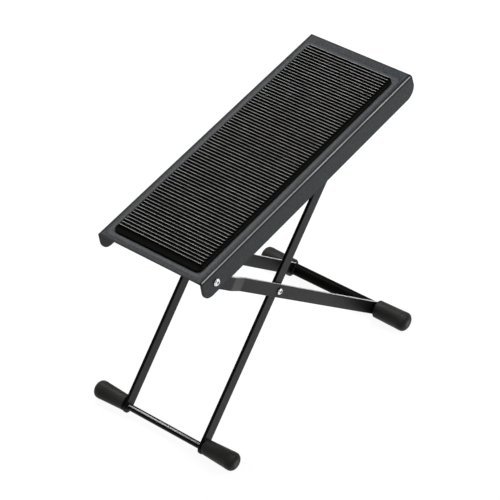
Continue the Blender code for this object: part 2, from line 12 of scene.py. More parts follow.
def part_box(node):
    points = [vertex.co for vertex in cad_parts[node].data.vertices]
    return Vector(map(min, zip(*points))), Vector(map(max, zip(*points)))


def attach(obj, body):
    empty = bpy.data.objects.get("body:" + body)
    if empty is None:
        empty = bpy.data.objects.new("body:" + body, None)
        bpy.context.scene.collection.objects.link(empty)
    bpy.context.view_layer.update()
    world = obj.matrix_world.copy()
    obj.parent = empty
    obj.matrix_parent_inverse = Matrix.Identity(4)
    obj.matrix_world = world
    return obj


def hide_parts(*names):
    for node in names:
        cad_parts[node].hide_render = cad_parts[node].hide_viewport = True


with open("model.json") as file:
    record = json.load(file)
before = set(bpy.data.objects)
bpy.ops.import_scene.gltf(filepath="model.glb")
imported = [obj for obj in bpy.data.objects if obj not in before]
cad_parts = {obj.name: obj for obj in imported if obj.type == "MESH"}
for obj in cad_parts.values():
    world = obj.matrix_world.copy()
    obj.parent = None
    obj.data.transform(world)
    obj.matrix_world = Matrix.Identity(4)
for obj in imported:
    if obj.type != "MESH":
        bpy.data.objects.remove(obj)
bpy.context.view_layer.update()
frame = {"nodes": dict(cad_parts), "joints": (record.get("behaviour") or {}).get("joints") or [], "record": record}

bl_info = {
    "name": "Guitar footrest",
    "version": (1, 0, 0),
    "blender": (4, 5, 0),
    "location": "3D view > Sidebar > Footrest",
    "description": "Builds the finished pieces of a folding guitar footrest",
    "category": "Object",
}

MM = 0.001
TINY = 1e-7
LEVEL = MM / 10
SIDES = (("left", 1), ("right", -1))

# Facets: round a turned piece, round a hole, on a rounded corner, on an eased bend, on a
# softened edge and along a straight bar
TURN_STEPS = 64
RING_STEPS = 48
CORNER_STEPS = 14
EASE_STEPS = 5
ROUND_STEPS = 3
BAR_STEPS = 8

# Angles at which an edge counts as sharp
ROUND_ANGLE = math.radians(50)
CREASE_ANGLE = math.radians(38)


# Places worked out from the packed frame

def side_frame(origin, along):
    """Local axes in the side view: x along a direction, y to the left side, z square to both."""
    x_axis = Vector((along[0], 0, along[2])).normalized()
    y_axis = Vector((0, 1, 0))
    place = Matrix((x_axis, y_axis, x_axis.cross(y_axis))).transposed().to_4x4()
    place.translation = origin
    return place


def node_points(node, place):
    """The corners of a packed node, in local axes."""
    inverse = place.inverted()
    return [inverse @ vert.co for vert in frame["nodes"][node].data.vertices]


def reach(points):
    """Lowest and highest values of some points."""
    low = Vector([min(point[axis] for point in points) for axis in range(3)])
    high = Vector([max(point[axis] for point in points) for axis in range(3)])
    return low, high


def node_reach(node, place):
    """Low and high corners of a packed node, in local axes."""
    return reach(node_points(node, place))


def joint_place(name):
    """Where a joint of the packed model turns."""
    return Vector(next(joint["pos_m"] for joint in frame["joints"] if joint["name"] == name))


def box_middle(node):
    """Middle of a packed node's box."""
    low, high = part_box(node)
    return (low + high) / 2


def plate_axes():
    """Axes of the foot plate: x up its slope from the low end's top edge, z out of its top."""
    up = next(mount["axis"] for mount in frame["record"]["mounts"]
              if mount["name"] == "foot_surface")
    slope = side_frame((0, 0, 0), (up[2], 0, -up[0]))
    low, high = node_reach("foot_plate", slope)
    slope.translation = slope @ Vector((low.x, 0, high.z))
    return slope


PLATE = plate_axes()
PIVOT = joint_place("rear_leg_fold")
SCISSOR = joint_place("front_leg_scissor")
REAR = side_frame(PIVOT, box_middle("rear_cross_tube") - PIVOT)
FRONT = side_frame(SCISSOR, box_middle("latch_rod") - SCISSOR)

PLATE_LOW, PLATE_HIGH = node_reach("foot_plate", PLATE)
PLATE_TOP_LENGTH = max(point.x for point in node_points("foot_plate", PLATE)
                       if point.z > -LEVEL)
MAT_LOW, MAT_HIGH = node_reach("rubber_mat", PLATE)
RACK_LOW, RACK_HIGH = node_reach("notch_rack_left", PLATE)
BAR_LOW, BAR_HIGH = node_reach("front_leg_bar_left", FRONT)
STRIP_LOW, STRIP_HIGH = node_reach("rear_leg_strip_left", REAR)
STRIP_FOOT = reach([point for point in node_points("rear_leg_strip_left", REAR)
                    if point.x > STRIP_HIGH.x / 2])
TUBE_LOW, TUBE_HIGH = node_reach("rear_cross_tube", REAR)
ROD_LOW, ROD_HIGH = node_reach("front_cross_rod", FRONT)
LATCH_LOW, LATCH_HIGH = node_reach("latch_rod", FRONT)
REAR_CAP_LOW, REAR_CAP_HIGH = node_reach("rear_foot_cap_left", REAR)
FRONT_CAP_LOW, FRONT_CAP_HIGH = node_reach("front_foot_cap_left", FRONT)
FRONT_CAP_MIDDLE = (FRONT_CAP_LOW + FRONT_CAP_HIGH) / 2
TUBE_MIDDLE = (TUBE_LOW + TUBE_HIGH) / 2
ROD_MIDDLE = (ROD_LOW + ROD_HIGH) / 2
LATCH_MIDDLE = (LATCH_LOW + LATCH_HIGH) / 2
PIVOT_ON_PLATE = PLATE.inverted() @ PIVOT
SCISSOR_ON_REAR = REAR.inverted() @ SCISSOR
TUBE_RADIUS = (TUBE_HIGH.z - TUBE_LOW.z) / 2
ROD_RADIUS = (ROD_HIGH.z - ROD_LOW.z) / 2
LATCH_RADIUS = (LATCH_HIGH.z - LATCH_LOW.z) / 2
LEG_HALF_WIDTH = (BAR_HIGH.z - BAR_LOW.z) / 2


# Sizes and colours that a user may change

def length(name, description, default):
    """A length property in metres."""
    return FloatProperty(name=name, description=description, default=default, unit="LENGTH",
                         precision=5, min=0)


def share(name, description, default):
    """A property between nought and one."""
    return FloatProperty(name=name, description=description, default=default, min=0, max=1,
                         subtype="FACTOR")


def colour(name, description, default):
    """A colour property."""
    return FloatVectorProperty(name=name, description=description, default=default, size=3,
                               min=0, max=1, subtype="COLOR")


def power(name, description, default):
    """A lamp's power in watts."""
    return FloatProperty(name=name, description=description, default=default, min=0, unit="POWER")


class FootrestPlateSizes(PropertyGroup):
    """Sizes of the pressed plate and its racks."""
    sheet: length("Sheet", "Thickness of the pressed sheet", 1.5 * MM)
    fold_radius: length("Fold radius", "Outer radius of the two long folds", 2.2 * MM)
    low_corner: length("Low corner", "Rounding of the flanges' low ends", 12 * MM)
    high_corner: length("High corner", "Rounding of the flanges' high ends", 11 * MM)
    border_height: length("Border height", "Rise of the pressed border round the mat", 0.25 * MM)
    edge_round: length("Edge round", "Rounding of the painted sheet's edges", 0.35 * MM)
    rack_web: length("Rack web", "Thickness of the racks' notched web", 2 * MM)
    rack_foot: length("Rack foot", "Thickness of the racks' welded foot", 1.5 * MM)
    rack_margin: length("Rack margin", "From a rack's ends to its outer notches", 9 * MM)
    notch_count: IntProperty(name="Notches", description="Height notches in each rack",
                             default=5, min=1)
    notch_play: length("Notch play", "Play of the latch rod in a notch", 0.3 * MM)
    notch_roof: length("Notch roof", "Web left over each notch", 2.2 * MM)
    notch_ramp: length("Notch ramp", "Lead-in on the low side of each notch", 2.2 * MM)
    notch_lip: length("Notch lip", "Overhang on the high side of each notch", 1.2 * MM)


class FootrestMatSizes(PropertyGroup):
    """Sizes of the ribbed mat."""
    corner: length("Corner", "Radius of the mat's four corners", 5 * MM)
    rib_count: IntProperty(name="Ribs", description="Cross ribs on the mat", default=77, min=2)
    rib_width: length("Rib width", "Width of one rib at its foot", 1.7 * MM)
    rib_height: length("Rib height", "Height of a rib over its groove", 1.3 * MM)
    low_margin: length("Low margin", "Smooth margin below the first rib", 6.2 * MM)
    high_margin: length("High margin", "Margin above the last rib", 1.1 * MM)
    side_margin: length("Side margin", "Margin beside the ribs' ends", 1.9 * MM)
    low_fall: length("Low fall", "How far the margin falls towards the low end", 1.3 * MM)
    side_fall: length("Side fall", "How far the margin falls towards the sides", 0.6 * MM)
    rim_round: length("Rim round", "Rounding of the mat's upper rim", 1.0 * MM)


class FootrestLegSizes(PropertyGroup):
    """Sizes of the flat legs and their cross members."""
    edge_round: length("Edge round", "Rounding of the flat bars' long edges", 0.5 * MM)
    joggle_start: length("Joggle start", "From the plate pivot to the first bend", 32 * MM)
    joggle_end: length("Joggle end", "From the plate pivot to the second bend", 55 * MM)
    joggle_ease: length("Joggle ease", "Length over which each bend is eased", 4 * MM)
    cope_setback: length("Cope setback", "From the tube's centre to the strips' corners", 3 * MM)
    hole_radius: length("Hole radius", "Radius of the rivet holes", 2.6 * MM)
    tube_wall: length("Tube wall", "Wall of the rear foot tube", 1 * MM)
    rod_end: length("Rod end", "Rounding of the rods' ends", 0.6 * MM)
    bead: length("Weld bead", "Thickness of the weld beads", 1.5 * MM)


class FootrestCapSizes(PropertyGroup):
    """Sizes of the rubber foot caps."""
    front_inner_radius: length("Front inner radius", "Front caps' radius at the leg", 7.6 * MM)
    rear_inner_radius: length("Rear inner radius", "Rear caps' radius at the leg", 9 * MM)
    dome: length("Dome", "Length of the domed end", 5 * MM)
    face_radius: length("Face radius", "Radius of the flat on the domed end", 3.8 * MM)
    rim_round: length("Rim round", "Rounding of the inner rim", 1.1 * MM)
    socket_wall: length("Socket wall", "Rubber between the socket's bottom and the end", 8 * MM)
    seam: length("Mould seam", "Height of the moulding seam", 0.12 * MM)


class FootrestRivetSizes(PropertyGroup):
    """Sizes of the rivets and washers."""
    shank_radius: length("Shank radius", "Radius of the rivets' shanks", 2.4 * MM)
    head_height: length("Head height", "Height of the domed heads", 1.7 * MM)
    tail_height: length("Tail height", "Height of the flat tails", 1.5 * MM)
    dimple_radius: length("Dimple radius", "Radius of the dimple in a head", 1.2 * MM)
    dimple_depth: length("Dimple depth", "Depth of the dimple in a head", 0.9 * MM)
    washer_round: length("Washer round", "Rounding of the washers' edges", 0.2 * MM)


class FootrestFinishes(PropertyGroup):
    """Colours and gloss of the finishes."""
    plate_colour: colour("Plate paint", "Dark grey powder coat of the plate",
                         (0.033, 0.039, 0.045))
    # Painted highlight along the plate's folds and on its pressed border
    plate_highlight_colour: colour("Plate folds", "Painted highlight along the folds and on the pressed border",
                               (0.5, 0.505, 0.515))
    plate_roughness: share("Plate roughness", "Roughness of the plate's coat", 0.36)
    leg_colour: colour("Leg paint", "Black powder coat of the legs", (0.016, 0.016, 0.0172))
    # Painted highlight along the rear strips' upper edges
    leg_highlight_colour: colour("Leg crests", "Painted highlight along the rear legs' upper edges",
                             (0.9, 0.9, 0.9))
    tube_colour: colour("Tube paint", "Black coat of the rear foot tube",
                        (0.0042, 0.0042, 0.0036))
    tube_specular: share("Tube reflection", "Specular level of the tube's coat", 0.02)
    leg_roughness: share("Leg roughness", "Roughness of the legs' coat", 0.36)
    paint_specular: share("Paint reflection", "Specular level of the powder coats", 0.125)
    edge_colour: colour("Edges", "Shaded coat in the folds and along the edges",
                        (0.001, 0.001, 0.001))
    enamel_colour: colour("Rod enamel", "Black enamel of the rods", (0.0015, 0.0015, 0.0015))
    # Painted highlight along the rod's top
    enamel_highlight_colour: colour("Rod's top line", "Painted highlight along the rod's top",
                                (0.85, 0.85, 0.86))
    enamel_roughness: share("Enamel roughness", "Roughness of the enamel", 0.1)
    enamel_specular: share("Enamel reflection", "Specular level of the enamel", 0.12)
    steel_colour: colour("Rivet plating", "Bright plating of rivets and washers",
                         (0.78, 0.78, 0.77))
    steel_edge_colour: colour("Plating rims", "Plating in the shade of rims and dimples",
                              (0.02, 0.02, 0.02))
    # Painted highlight of the plating; no rivet or washer is marked for it
    steel_highlight_colour: colour("Plating crests", "Painted highlight on the plating", (0.9, 0.9, 0.9))
    steel_roughness: share("Plating roughness", "Roughness of the plating", 0.22)
    steel_specular: share("Plating reflection", "Specular level of the plating", 0.5)
    mat_colour: colour("Mat rubber", "Black rubber of the mat", (0.004, 0.004, 0.003))
    # Painted shade in the grooves and a painted highlight along the rib tops
    mat_groove_shade_colour: colour("Mat grooves", "Painted shade in the grooves, on the rib sides and rib ends",
                              (0.0006, 0.0006, 0.0005))
    mat_top_highlight_colour: colour("Rib tops", "Painted highlight along the rib tops",
                           (0.85, 0.85, 0.83))
    mat_roughness: share("Mat roughness", "Roughness of the mat's rubber", 0.4)
    mat_specular: share("Mat reflection", "Specular level of the mat", 0.05)
    cap_colour: colour("Cap rubber", "Black rubber of the caps", (0.0065, 0.0068, 0.006))
    # Painted highlight on the caps' end faces and upper sides
    cap_highlight_colour: colour("Cap faces", "Painted highlight on the caps' end faces and tops",
                             (0.06, 0.06, 0.058))
    cap_roughness: share("Cap roughness", "Roughness of the caps' rubber", 0.48)
    rubber_specular: share("Rubber reflection", "Specular level of the caps", 0.17)
    dust_colour: colour("Dust", "Fine dust on upward faces", (0.22, 0.22, 0.21))


class FootrestStage(PropertyGroup):
    """Floor, lamps, world and camera."""
    floor_size: length("Floor size", "Side of the square floor", 8.0)
    floor_white: share("Floor white", "Glow of the floor in the camera's own view", 0.93)
    floor_shade: share("Floor shade", "How strongly the seen floor takes a shadow", 0.16)
    floor_bounce: share("Floor bounce", "Grey of the floor that lights the object", 0.72)
    back_lamp: power("Back lamp", "High softbox behind the high end", 10.5)
    front_lamp: power("Front lamp", "Softbox to the right of the camera", 9.0)
    fill_lamp: power("Fill lamp", "Large weak softbox above the camera", 6.0)
    sky_low: share("World at the horizon", "Brightness of the world near the floor", 0.7)
    sky_high: share("World overhead", "Brightness of the world overhead", 0.16)
    horizon_end: share("Horizon's end", "Height at which the world begins to dim", 0.06)
    ceiling_start: share("Ceiling's start", "Height from which the world is dim", 0.34)
    camera_place: FloatVectorProperty(name="Camera place", description="Where the camera stands",
                                      default=(-1.21580, -0.94956, 1.29995), subtype="XYZ",
                                      unit="LENGTH")
    camera_yaw: FloatProperty(name="Camera yaw", description="Turn from +Y towards +X",
                              default=math.radians(51.69049), subtype="ANGLE")
    camera_pitch: FloatProperty(name="Camera pitch", description="Downward tilt",
                                default=math.radians(37.22705), subtype="ANGLE")
    camera_roll: FloatProperty(name="Camera roll", description="Turn about the line of sight",
                               default=math.radians(0.37906), subtype="ANGLE")
    camera_lens: FloatProperty(name="Lens", description="Focal length for a 36 mm sensor",
                               default=152.86, unit="CAMERA")


# Shader groups and materials

def new_group(name, inputs, outputs):
    """An empty shader group with its sockets; returns it with its input and output nodes."""
    group = bpy.data.node_groups.new(name, "ShaderNodeTree")
    for label, kind, value in inputs:
        socket = group.interface.new_socket(label, in_out="INPUT", socket_type=kind)
        socket.default_value = value
    for label, kind in outputs:
        group.interface.new_socket(label, in_out="OUTPUT", socket_type=kind)
    return group, group.nodes.new("NodeGroupInput"), group.nodes.new("NodeGroupOutput")


def add_math(tree, operation, first, second, clamp=False):
    """A math node; each side is a socket or a number."""
    node = tree.nodes.new("ShaderNodeMath")
    node.operation = operation
    node.use_clamp = clamp
    for index, value in enumerate((first, second)):
        if isinstance(value, bpy.types.NodeSocket):
            tree.links.new(value, node.inputs[index])
        else:
            node.inputs[index].default_value = value
    return node.outputs[0]


def add_mix(tree, mask, first, second):
    """A colour mix node."""
    node = tree.nodes.new("ShaderNodeMix")
    node.data_type = "RGBA"
    tree.links.new(mask, node.inputs["Factor"])
    tree.links.new(first, node.inputs["A"])
    tree.links.new(second, node.inputs["B"])
    return node.outputs["Result"]


def add_noise(tree, place, scale, detail):
    """A noise texture whose scale is a socket; returns its value."""
    node = tree.nodes.new("ShaderNodeTexNoise")
    node.inputs["Detail"].default_value = detail
    tree.links.new(place, node.inputs["Vector"])
    tree.links.new(scale, node.inputs["Scale"])
    return node.outputs["Fac"]


# Darkest and lightest grain, as shares of a finish's colour
TINT_LOW = 0.35
TINT_HIGH = 1.75

# The patches' size in grains, the detail of both noises and the part of the fine one in use
PATCH_TO_GRAIN = 26
PATCH_DETAIL = 4
GRAIN_DETAIL = 3
GRAIN_FLOOR = 0.3
GRAIN_SPAN = 0.4

# What is added to the grain where edge shade is painted, and to the patches where a highlight is painted, before
# they thin it
EDGE_COVER = 0.5
HIGHLIGHT_COVER = 0.35


def grain_group():
    """Fine grain of a coat or moulding, and the broad patches in which it varies."""
    group, entry, leave = new_group(
        "fine_grain", [("Grain size", "NodeSocketFloat", MM)],
        [("Grain", "NodeSocketFloat"), ("Patch", "NodeSocketFloat")])
    place = group.nodes.new("ShaderNodeTexCoord").outputs["Object"]
    scale = add_math(group, "DIVIDE", 1, entry.outputs["Grain size"])
    broad = add_math(group, "DIVIDE", scale, PATCH_TO_GRAIN)
    fine = add_noise(group, place, scale, GRAIN_DETAIL)
    raised = add_math(group, "SUBTRACT", fine, GRAIN_FLOOR)
    stretched = add_math(group, "DIVIDE", raised, GRAIN_SPAN, clamp=True)
    group.links.new(stretched, leave.inputs["Grain"])
    group.links.new(add_noise(group, place, broad, PATCH_DETAIL), leave.inputs["Patch"])
    return group


def painted_light_group():
    """Painted shade in the edge colour where the mesh is marked above nought, a painted highlight in the highlight
    colour where below.
    """
    group, entry, leave = new_group(
        "edge_tone",
        [("Colour", "NodeSocketColor", (0, 0, 0, 1)),
         ("Edge colour", "NodeSocketColor", (0, 0, 0, 1)),
         ("Crest colour", "NodeSocketColor", (0, 0, 0, 1)),
         ("Grain", "NodeSocketFloat", 1), ("Patch", "NodeSocketFloat", 1)],
        [("Colour", "NodeSocketColor")])
    mark = group.nodes.new("ShaderNodeAttribute")
    mark.attribute_name = "edge"
    uneven = add_math(group, "ADD", entry.outputs["Grain"], EDGE_COVER, clamp=True)
    dark = add_math(group, "MULTIPLY", mark.outputs["Fac"], uneven, clamp=True)
    # Painted highlight where the mark is below nought, broken up by the patches
    crest = add_math(group, "MULTIPLY", mark.outputs["Fac"], -1, clamp=True)
    patchy_highlight = add_math(group, "ADD", entry.outputs["Patch"], HIGHLIGHT_COVER, clamp=True)
    crest = add_math(group, "MULTIPLY", crest, patchy_highlight)
    mixed = add_mix(group, dark, entry.outputs["Colour"], entry.outputs["Edge colour"])
    mixed = add_mix(group, crest, mixed, entry.outputs["Crest colour"])
    group.links.new(mixed, leave.inputs["Colour"])
    return group


def dust_group():
    """A thin dust that settles in patches on faces that look up."""
    group, entry, leave = new_group(
        "settled_dust",
        [("Colour", "NodeSocketColor", (0, 0, 0, 1)), ("Dust", "NodeSocketColor", (0, 0, 0, 1)),
         ("Amount", "NodeSocketFloat", 0), ("Grain", "NodeSocketFloat", 1),
         ("Patch", "NodeSocketFloat", 1)],
        [("Colour", "NodeSocketColor"), ("Mask", "NodeSocketFloat")])
    upward = group.nodes.new("ShaderNodeSeparateXYZ")
    group.links.new(group.nodes.new("ShaderNodeNewGeometry").outputs["Normal"],
                    upward.inputs["Vector"])
    facing = add_math(group, "MAXIMUM", upward.outputs["Z"], 0)
    speck = add_math(group, "MULTIPLY", entry.outputs["Grain"], entry.outputs["Patch"])
    settled = add_math(group, "MULTIPLY", facing, speck)
    mask = add_math(group, "MULTIPLY", settled, entry.outputs["Amount"], clamp=True)
    mixed = add_mix(group, mask, entry.outputs["Colour"], entry.outputs["Dust"])
    group.links.new(mixed, leave.inputs["Colour"])
    group.links.new(mask, leave.inputs["Mask"])
    return group


def place_group(tree, maker, name):
    """Put a shader group into a material, made on its first use."""
    node = tree.nodes.new("ShaderNodeGroup")
    node.node_tree = bpy.data.node_groups.get(name) or maker()
    return node


# Each finish: size and depth of its grain, spread of its roughness, dust on it and metal share
COATS = {
    "plate_paint": (1.3 * MM, 0.035 * MM, 0.06, 0.02, 0),
    "leg_paint": (1.2 * MM, 0.03 * MM, 0.06, 0.008, 0),
    "tube_paint": (0.8 * MM, 0.012 * MM, 0.06, 0.004, 0),
    "rod_enamel": (1.5 * MM, 0.003 * MM, 0.04, 0, 0),
    "bright_rivet": (0.5 * MM, 0.004 * MM, 0.08, 0, 1),
    "mat_rubber": (0.7 * MM, 0.01 * MM, 0.08, 0.01, 0),
    "cap_rubber": (0.6 * MM, 0.008 * MM, 0.08, 0.01, 0),
}


def finish_look(look, name):
    """Colour, painted shade colour, painted highlight colour, roughness and specular level of a finish."""
    return {
        "plate_paint": (look.plate_colour, look.edge_colour, look.plate_highlight_colour,
                        look.plate_roughness, look.paint_specular),
        "leg_paint": (look.leg_colour, look.edge_colour, look.leg_highlight_colour,
                      look.leg_roughness, look.paint_specular),
        "tube_paint": (look.tube_colour, look.edge_colour, look.leg_highlight_colour,
                       look.leg_roughness, look.tube_specular),
        "rod_enamel": (look.enamel_colour, look.edge_colour, look.enamel_highlight_colour,
                       look.enamel_roughness, look.enamel_specular),
        "bright_rivet": (look.steel_colour, look.steel_edge_colour, look.steel_highlight_colour,
                         look.steel_roughness, look.steel_specular),
        "mat_rubber": (look.mat_colour, look.mat_groove_shade_colour, look.mat_top_highlight_colour,
                       look.mat_roughness, look.mat_specular),
        "cap_rubber": (look.cap_colour, look.edge_colour, look.cap_highlight_colour,
                       look.cap_roughness, look.rubber_specular),
    }[name]


def make_finish(name):
    """The material of a finish, with its grain, painted edge shade, painted highlights, patches and dust."""
    known = bpy.data.materials.get(f"finished_{name}")
    if known:
        return known
    look = bpy.context.scene.footrest_finishes
    base, edge_colour, highlight_colour, roughness, specular = finish_look(look, name)
    grain_size, grain_depth, spread, dust, metal = COATS[name]
    material = bpy.data.materials.new(f"finished_{name}")
    material.use_nodes = True
    tree = material.node_tree
    shader = tree.nodes["Principled BSDF"]
    shader.inputs["Metallic"].default_value = metal
    shader.inputs["Specular IOR Level"].default_value = specular
    grain = place_group(tree, grain_group, "fine_grain")
    grain.inputs["Grain size"].default_value = grain_size
    tint = tree.nodes.new("ShaderNodeMix")
    tint.data_type = "RGBA"
    tint.inputs["A"].default_value = (*(value * TINT_LOW for value in base), 1)
    tint.inputs["B"].default_value = (*(value * TINT_HIGH for value in base), 1)
    tree.links.new(grain.outputs["Grain"], tint.inputs["Factor"])
    # Painted shade and painted highlights, read from the marks on the mesh
    edge = place_group(tree, painted_light_group, "edge_tone")
    edge.inputs["Edge colour"].default_value = (*edge_colour, 1)
    edge.inputs["Crest colour"].default_value = (*highlight_colour, 1)
    tree.links.new(tint.outputs["Result"], edge.inputs["Colour"])
    settled = place_group(tree, dust_group, "settled_dust")
    settled.inputs["Dust"].default_value = (*look.dust_colour, 1)
    settled.inputs["Amount"].default_value = dust
    tree.links.new(edge.outputs["Colour"], settled.inputs["Colour"])
    for tone in (edge, settled):
        tree.links.new(grain.outputs["Grain"], tone.inputs["Grain"])
        tree.links.new(grain.outputs["Patch"], tone.inputs["Patch"])
    tree.links.new(settled.outputs["Colour"], shader.inputs["Base Color"])
    uneven = add_math(tree, "MULTIPLY", grain.outputs["Patch"], spread)
    rough = add_math(tree, "ADD", uneven, roughness - spread / 2)
    dusty = add_math(tree, "ADD", rough, settled.outputs["Mask"], clamp=True)
    tree.links.new(dusty, shader.inputs["Roughness"])
    relief = tree.nodes.new("ShaderNodeBump")
    relief.inputs["Strength"].default_value = 1
    relief.inputs["Distance"].default_value = grain_depth
    tree.links.new(grain.outputs["Grain"], relief.inputs["Height"])
    tree.links.new(relief.outputs["Normal"], shader.inputs["Normal"])
    return material


# Mesh tools

def mark_layer(shape):
    """The vertex layer of painted tones: 1 is full edge colour, a painted shade; -1 full crest colour, a painted
    highlight.
    """
    return shape.verts.layers.float.get("edge") or shape.verts.layers.float.new("edge")


def round_edges(shape, width):
    """Round a solid's sharp edges and mark the rounding with painted edge shade."""
    bmesh.ops.recalc_face_normals(shape, faces=shape.faces)
    shape.normal_update()
    sharp = [edge for edge in shape.edges if edge.calc_face_angle(0) > ROUND_ANGLE]
    made = bmesh.ops.bevel(shape, geom=sharp, offset=width, segments=ROUND_STEPS, profile=0.5,
                           affect="EDGES", clamp_overlap=True)
    rounding = set(made["faces"])
    layer = mark_layer(shape)
    for vert in shape.verts:
        if any(face in rounding for face in vert.link_faces):
            vert[layer] = 1


def close_mesh(shape, name):
    """Turn a finished solid into a mesh, smooth but for its creases."""
    bmesh.ops.recalc_face_normals(shape, faces=shape.faces)
    shape.normal_update()
    if not shape.faces or any(not edge.is_manifold for edge in shape.edges):
        raise RuntimeError(f"{name} isn't a closed solid")
    for face in shape.faces:
        face.smooth = True
    for edge in shape.edges:
        edge.smooth = edge.calc_face_angle(0) < CREASE_ANGLE
    mesh = bpy.data.meshes.new(name)
    shape.to_mesh(mesh)
    shape.free()
    return mesh


def share_between(value, start, full):
    """How far a value has come from a start to a full value, between nought and one."""
    return min(max((value - start) / (full - start), 0), 1)


def tone_by_facing(mesh, direction, start, full, tone):
    """Paint a tone on the vertices that face a direction, fading in between two cosines; a tone below nought is a
    painted highlight.
    """
    toward = Vector(direction).normalized()
    tones = mesh.attributes["edge"].data
    for vert in mesh.vertices:
        part = share_between(vert.normal.dot(toward), start, full)
        tones[vert.index].value += (tone - tones[vert.index].value) * part


def tone_along(mesh, place, start, full, tone):
    """Paint shade on a leg towards one end, between two places along it, and leave its painted highlights."""
    inverse = place.inverted()
    tones = mesh.attributes["edge"].data
    for vert in mesh.vertices:
        part = share_between((inverse @ vert.co).x, start, full)
        if tones[vert.index].value >= 0:
            tones[vert.index].value = max(tones[vert.index].value, tone * part)


def add_piece(name, mesh, body, slot, *nodes, even=False, finish=None):
    """Place a finished piece on its body, in its finish, instead of the packed nodes."""
    piece = bpy.data.objects.new(name, mesh)
    bpy.context.scene.collection.objects.link(piece)
    mesh.materials.append(make_finish(finish or slot))
    if even:
        normals = piece.modifiers.new("even_normals", "WEIGHTED_NORMAL")
        normals.keep_sharp = True
    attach(piece, body)
    if nodes:
        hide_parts(*nodes)
    return piece


def join_rings(shape, low, high, closed=True):
    """Faces between two rings of vertices; a ring of one vertex is a point."""
    count = max(len(low), len(high))
    for index in range(count if closed else count - 1):
        after = (index + 1) % count
        corners = [low[index % len(low)], low[after % len(low)],
                   high[after % len(high)], high[index % len(high)]]
        shape.faces.new(list(dict.fromkeys(corners)))


def eased(corners, closed=False):
    """A path through corners (x, y, setback), each eased over its setback."""
    points = []
    last = len(corners) - 1
    for index, (x, y, setback) in enumerate(corners):
        here = Vector((x, y))
        if setback <= 0 or (not closed and index in (0, last)):
            points.append((x, y))
            continue
        before = Vector(corners[index - 1][:2])
        after = Vector(corners[(index + 1) % len(corners)][:2])
        start = here + (before - here).normalized() * setback
        end = here + (after - here).normalized() * setback
        for step in range(EASE_STEPS + 1):
            part = step / EASE_STEPS
            point = start * (1 - part) ** 2 + here * 2 * part * (1 - part) + end * part ** 2
            points.append((point.x, point.y))
    return points


def turned_mesh(name, profile, place, centre, side, closed=False):
    """Turn a profile about a cross axis: radius, height outwards, tone and sideways shift."""
    shape = bmesh.new()
    layer = mark_layer(shape)
    rings = []
    for radius, height, *extra in profile:
        steps = 1 if radius < TINY else TURN_STEPS
        tone = extra[0] if extra else 0
        shift = extra[1] if len(extra) > 1 else 0
        ring = []
        for step in range(steps):
            angle = 2 * math.pi * step / steps
            local = Vector((centre[0] + shift + radius * math.cos(angle), side * height,
                            centre[2] + radius * math.sin(angle)))
            vert = shape.verts.new(place @ local)
            vert[layer] = tone
            ring.append(vert)
        rings.append(ring)
    pairs = list(zip(rings, rings[1:]))
    if closed:
        pairs.append((rings[-1], rings[0]))
    for low, high in pairs:
        join_rings(shape, low, high)
    return close_mesh(shape, name)


def hole_zone(centre, half, hole, low_round=False, high_round=False):
    """Faces round a hole in a flat bar, square outside or rounded at the bar's end."""
    def corner(step, radius):
        angle = 2 * math.pi * step / RING_STEPS
        across, up = math.cos(angle), math.sin(angle)
        if radius is None:
            ended = (low_round and across < -TINY) or (high_round and across > TINY)
            radius = half if ended else half / max(abs(across), abs(up))
        return (centre + radius * across, radius * up)
    return [(corner(step, hole), corner(step, None), corner(step + 1, None),
             corner(step + 1, hole)) for step in range(RING_STEPS)]


def rows_across(half):
    """Heights across a flat bar that match the sides of its hole zones."""
    eighth = RING_STEPS // 8
    return [half * math.tan(2 * math.pi * step / RING_STEPS)
            for step in range(-eighth, eighth + 1)]


def column_faces(columns):
    """Faces between columns of points."""
    faces = []
    for low, high in zip(columns, columns[1:]):
        for index in range(len(low) - 1):
            faces.append((low[index], high[index], high[index + 1], low[index + 1]))
    return faces


def flat_mesh(name, faces, thickness, fit, edge_round):
    """Thicken flat faces into a solid, laid in space by a function of place and thickness."""
    shape = bmesh.new()
    layers = ({}, {})
    counts = {}

    def vert(layer, point):
        key = (round(point[0] / TINY), round(point[1] / TINY))
        if key not in layers[layer]:
            offset = thickness / 2 if layer else -thickness / 2
            layers[layer][key] = shape.verts.new(fit(point[0], point[1], offset))
        return key, layers[layer][key]

    for face in faces:
        keys = [vert(0, point)[0] for point in face]
        keys = list(dict.fromkeys(keys))
        upper = [vert(1, point)[1] for point in face]
        shape.faces.new([layers[0][key] for key in keys])
        shape.faces.new(list(dict.fromkeys(upper))[::-1])
        for first, second in zip(keys, keys[1:] + keys[:1]):
            pair = frozenset((first, second))
            counts[pair] = None if pair in counts else (first, second)
    for walls in counts.values():
        if walls:
            first, second = walls
            shape.faces.new((layers[0][second], layers[0][first], layers[1][first],
                             layers[1][second]))
    round_edges(shape, edge_round)
    return close_mesh(shape, name)


def arc(centre, radius, start, end, steps):
    """Points on an arc, both ends included; angles in degrees."""
    points = []
    for step in range(steps + 1):
        angle = math.radians(start + (end - start) * step / steps)
        points.append((centre[0] + radius * math.cos(angle), centre[1] + radius * math.sin(angle)))
    return points


# The foot plate

PLATE_COLUMNS = 28
EDGE_COLUMNS = 2

# How far the painted shade runs from a fold and from an edge, and where it has faded out
FOLD_SHADE = 1.5 * MM
EDGE_SHADE = 0.9 * MM
EDGE_FADE = 2 * MM

# The border's distances from the mat with the share of its height, and the tones: a painted highlight
# on the raised border, painted shade over the flanges, and painted shade and highlight across each fold
BORDER_SHAPE = ((0.5 * MM, 0), (1.8 * MM, 1), (4 * MM, 1), (5.5 * MM, 0))
BORDER_HIGHLIGHT_TONE = 0.1
FLANGE_SHADE_TONE = 0.3
FOLD_SHADE_AND_HIGHLIGHT_TONES = (1, 1, 1, 0.3, -0.8, -1, -1, -0.4, 0.6, 1, 1)


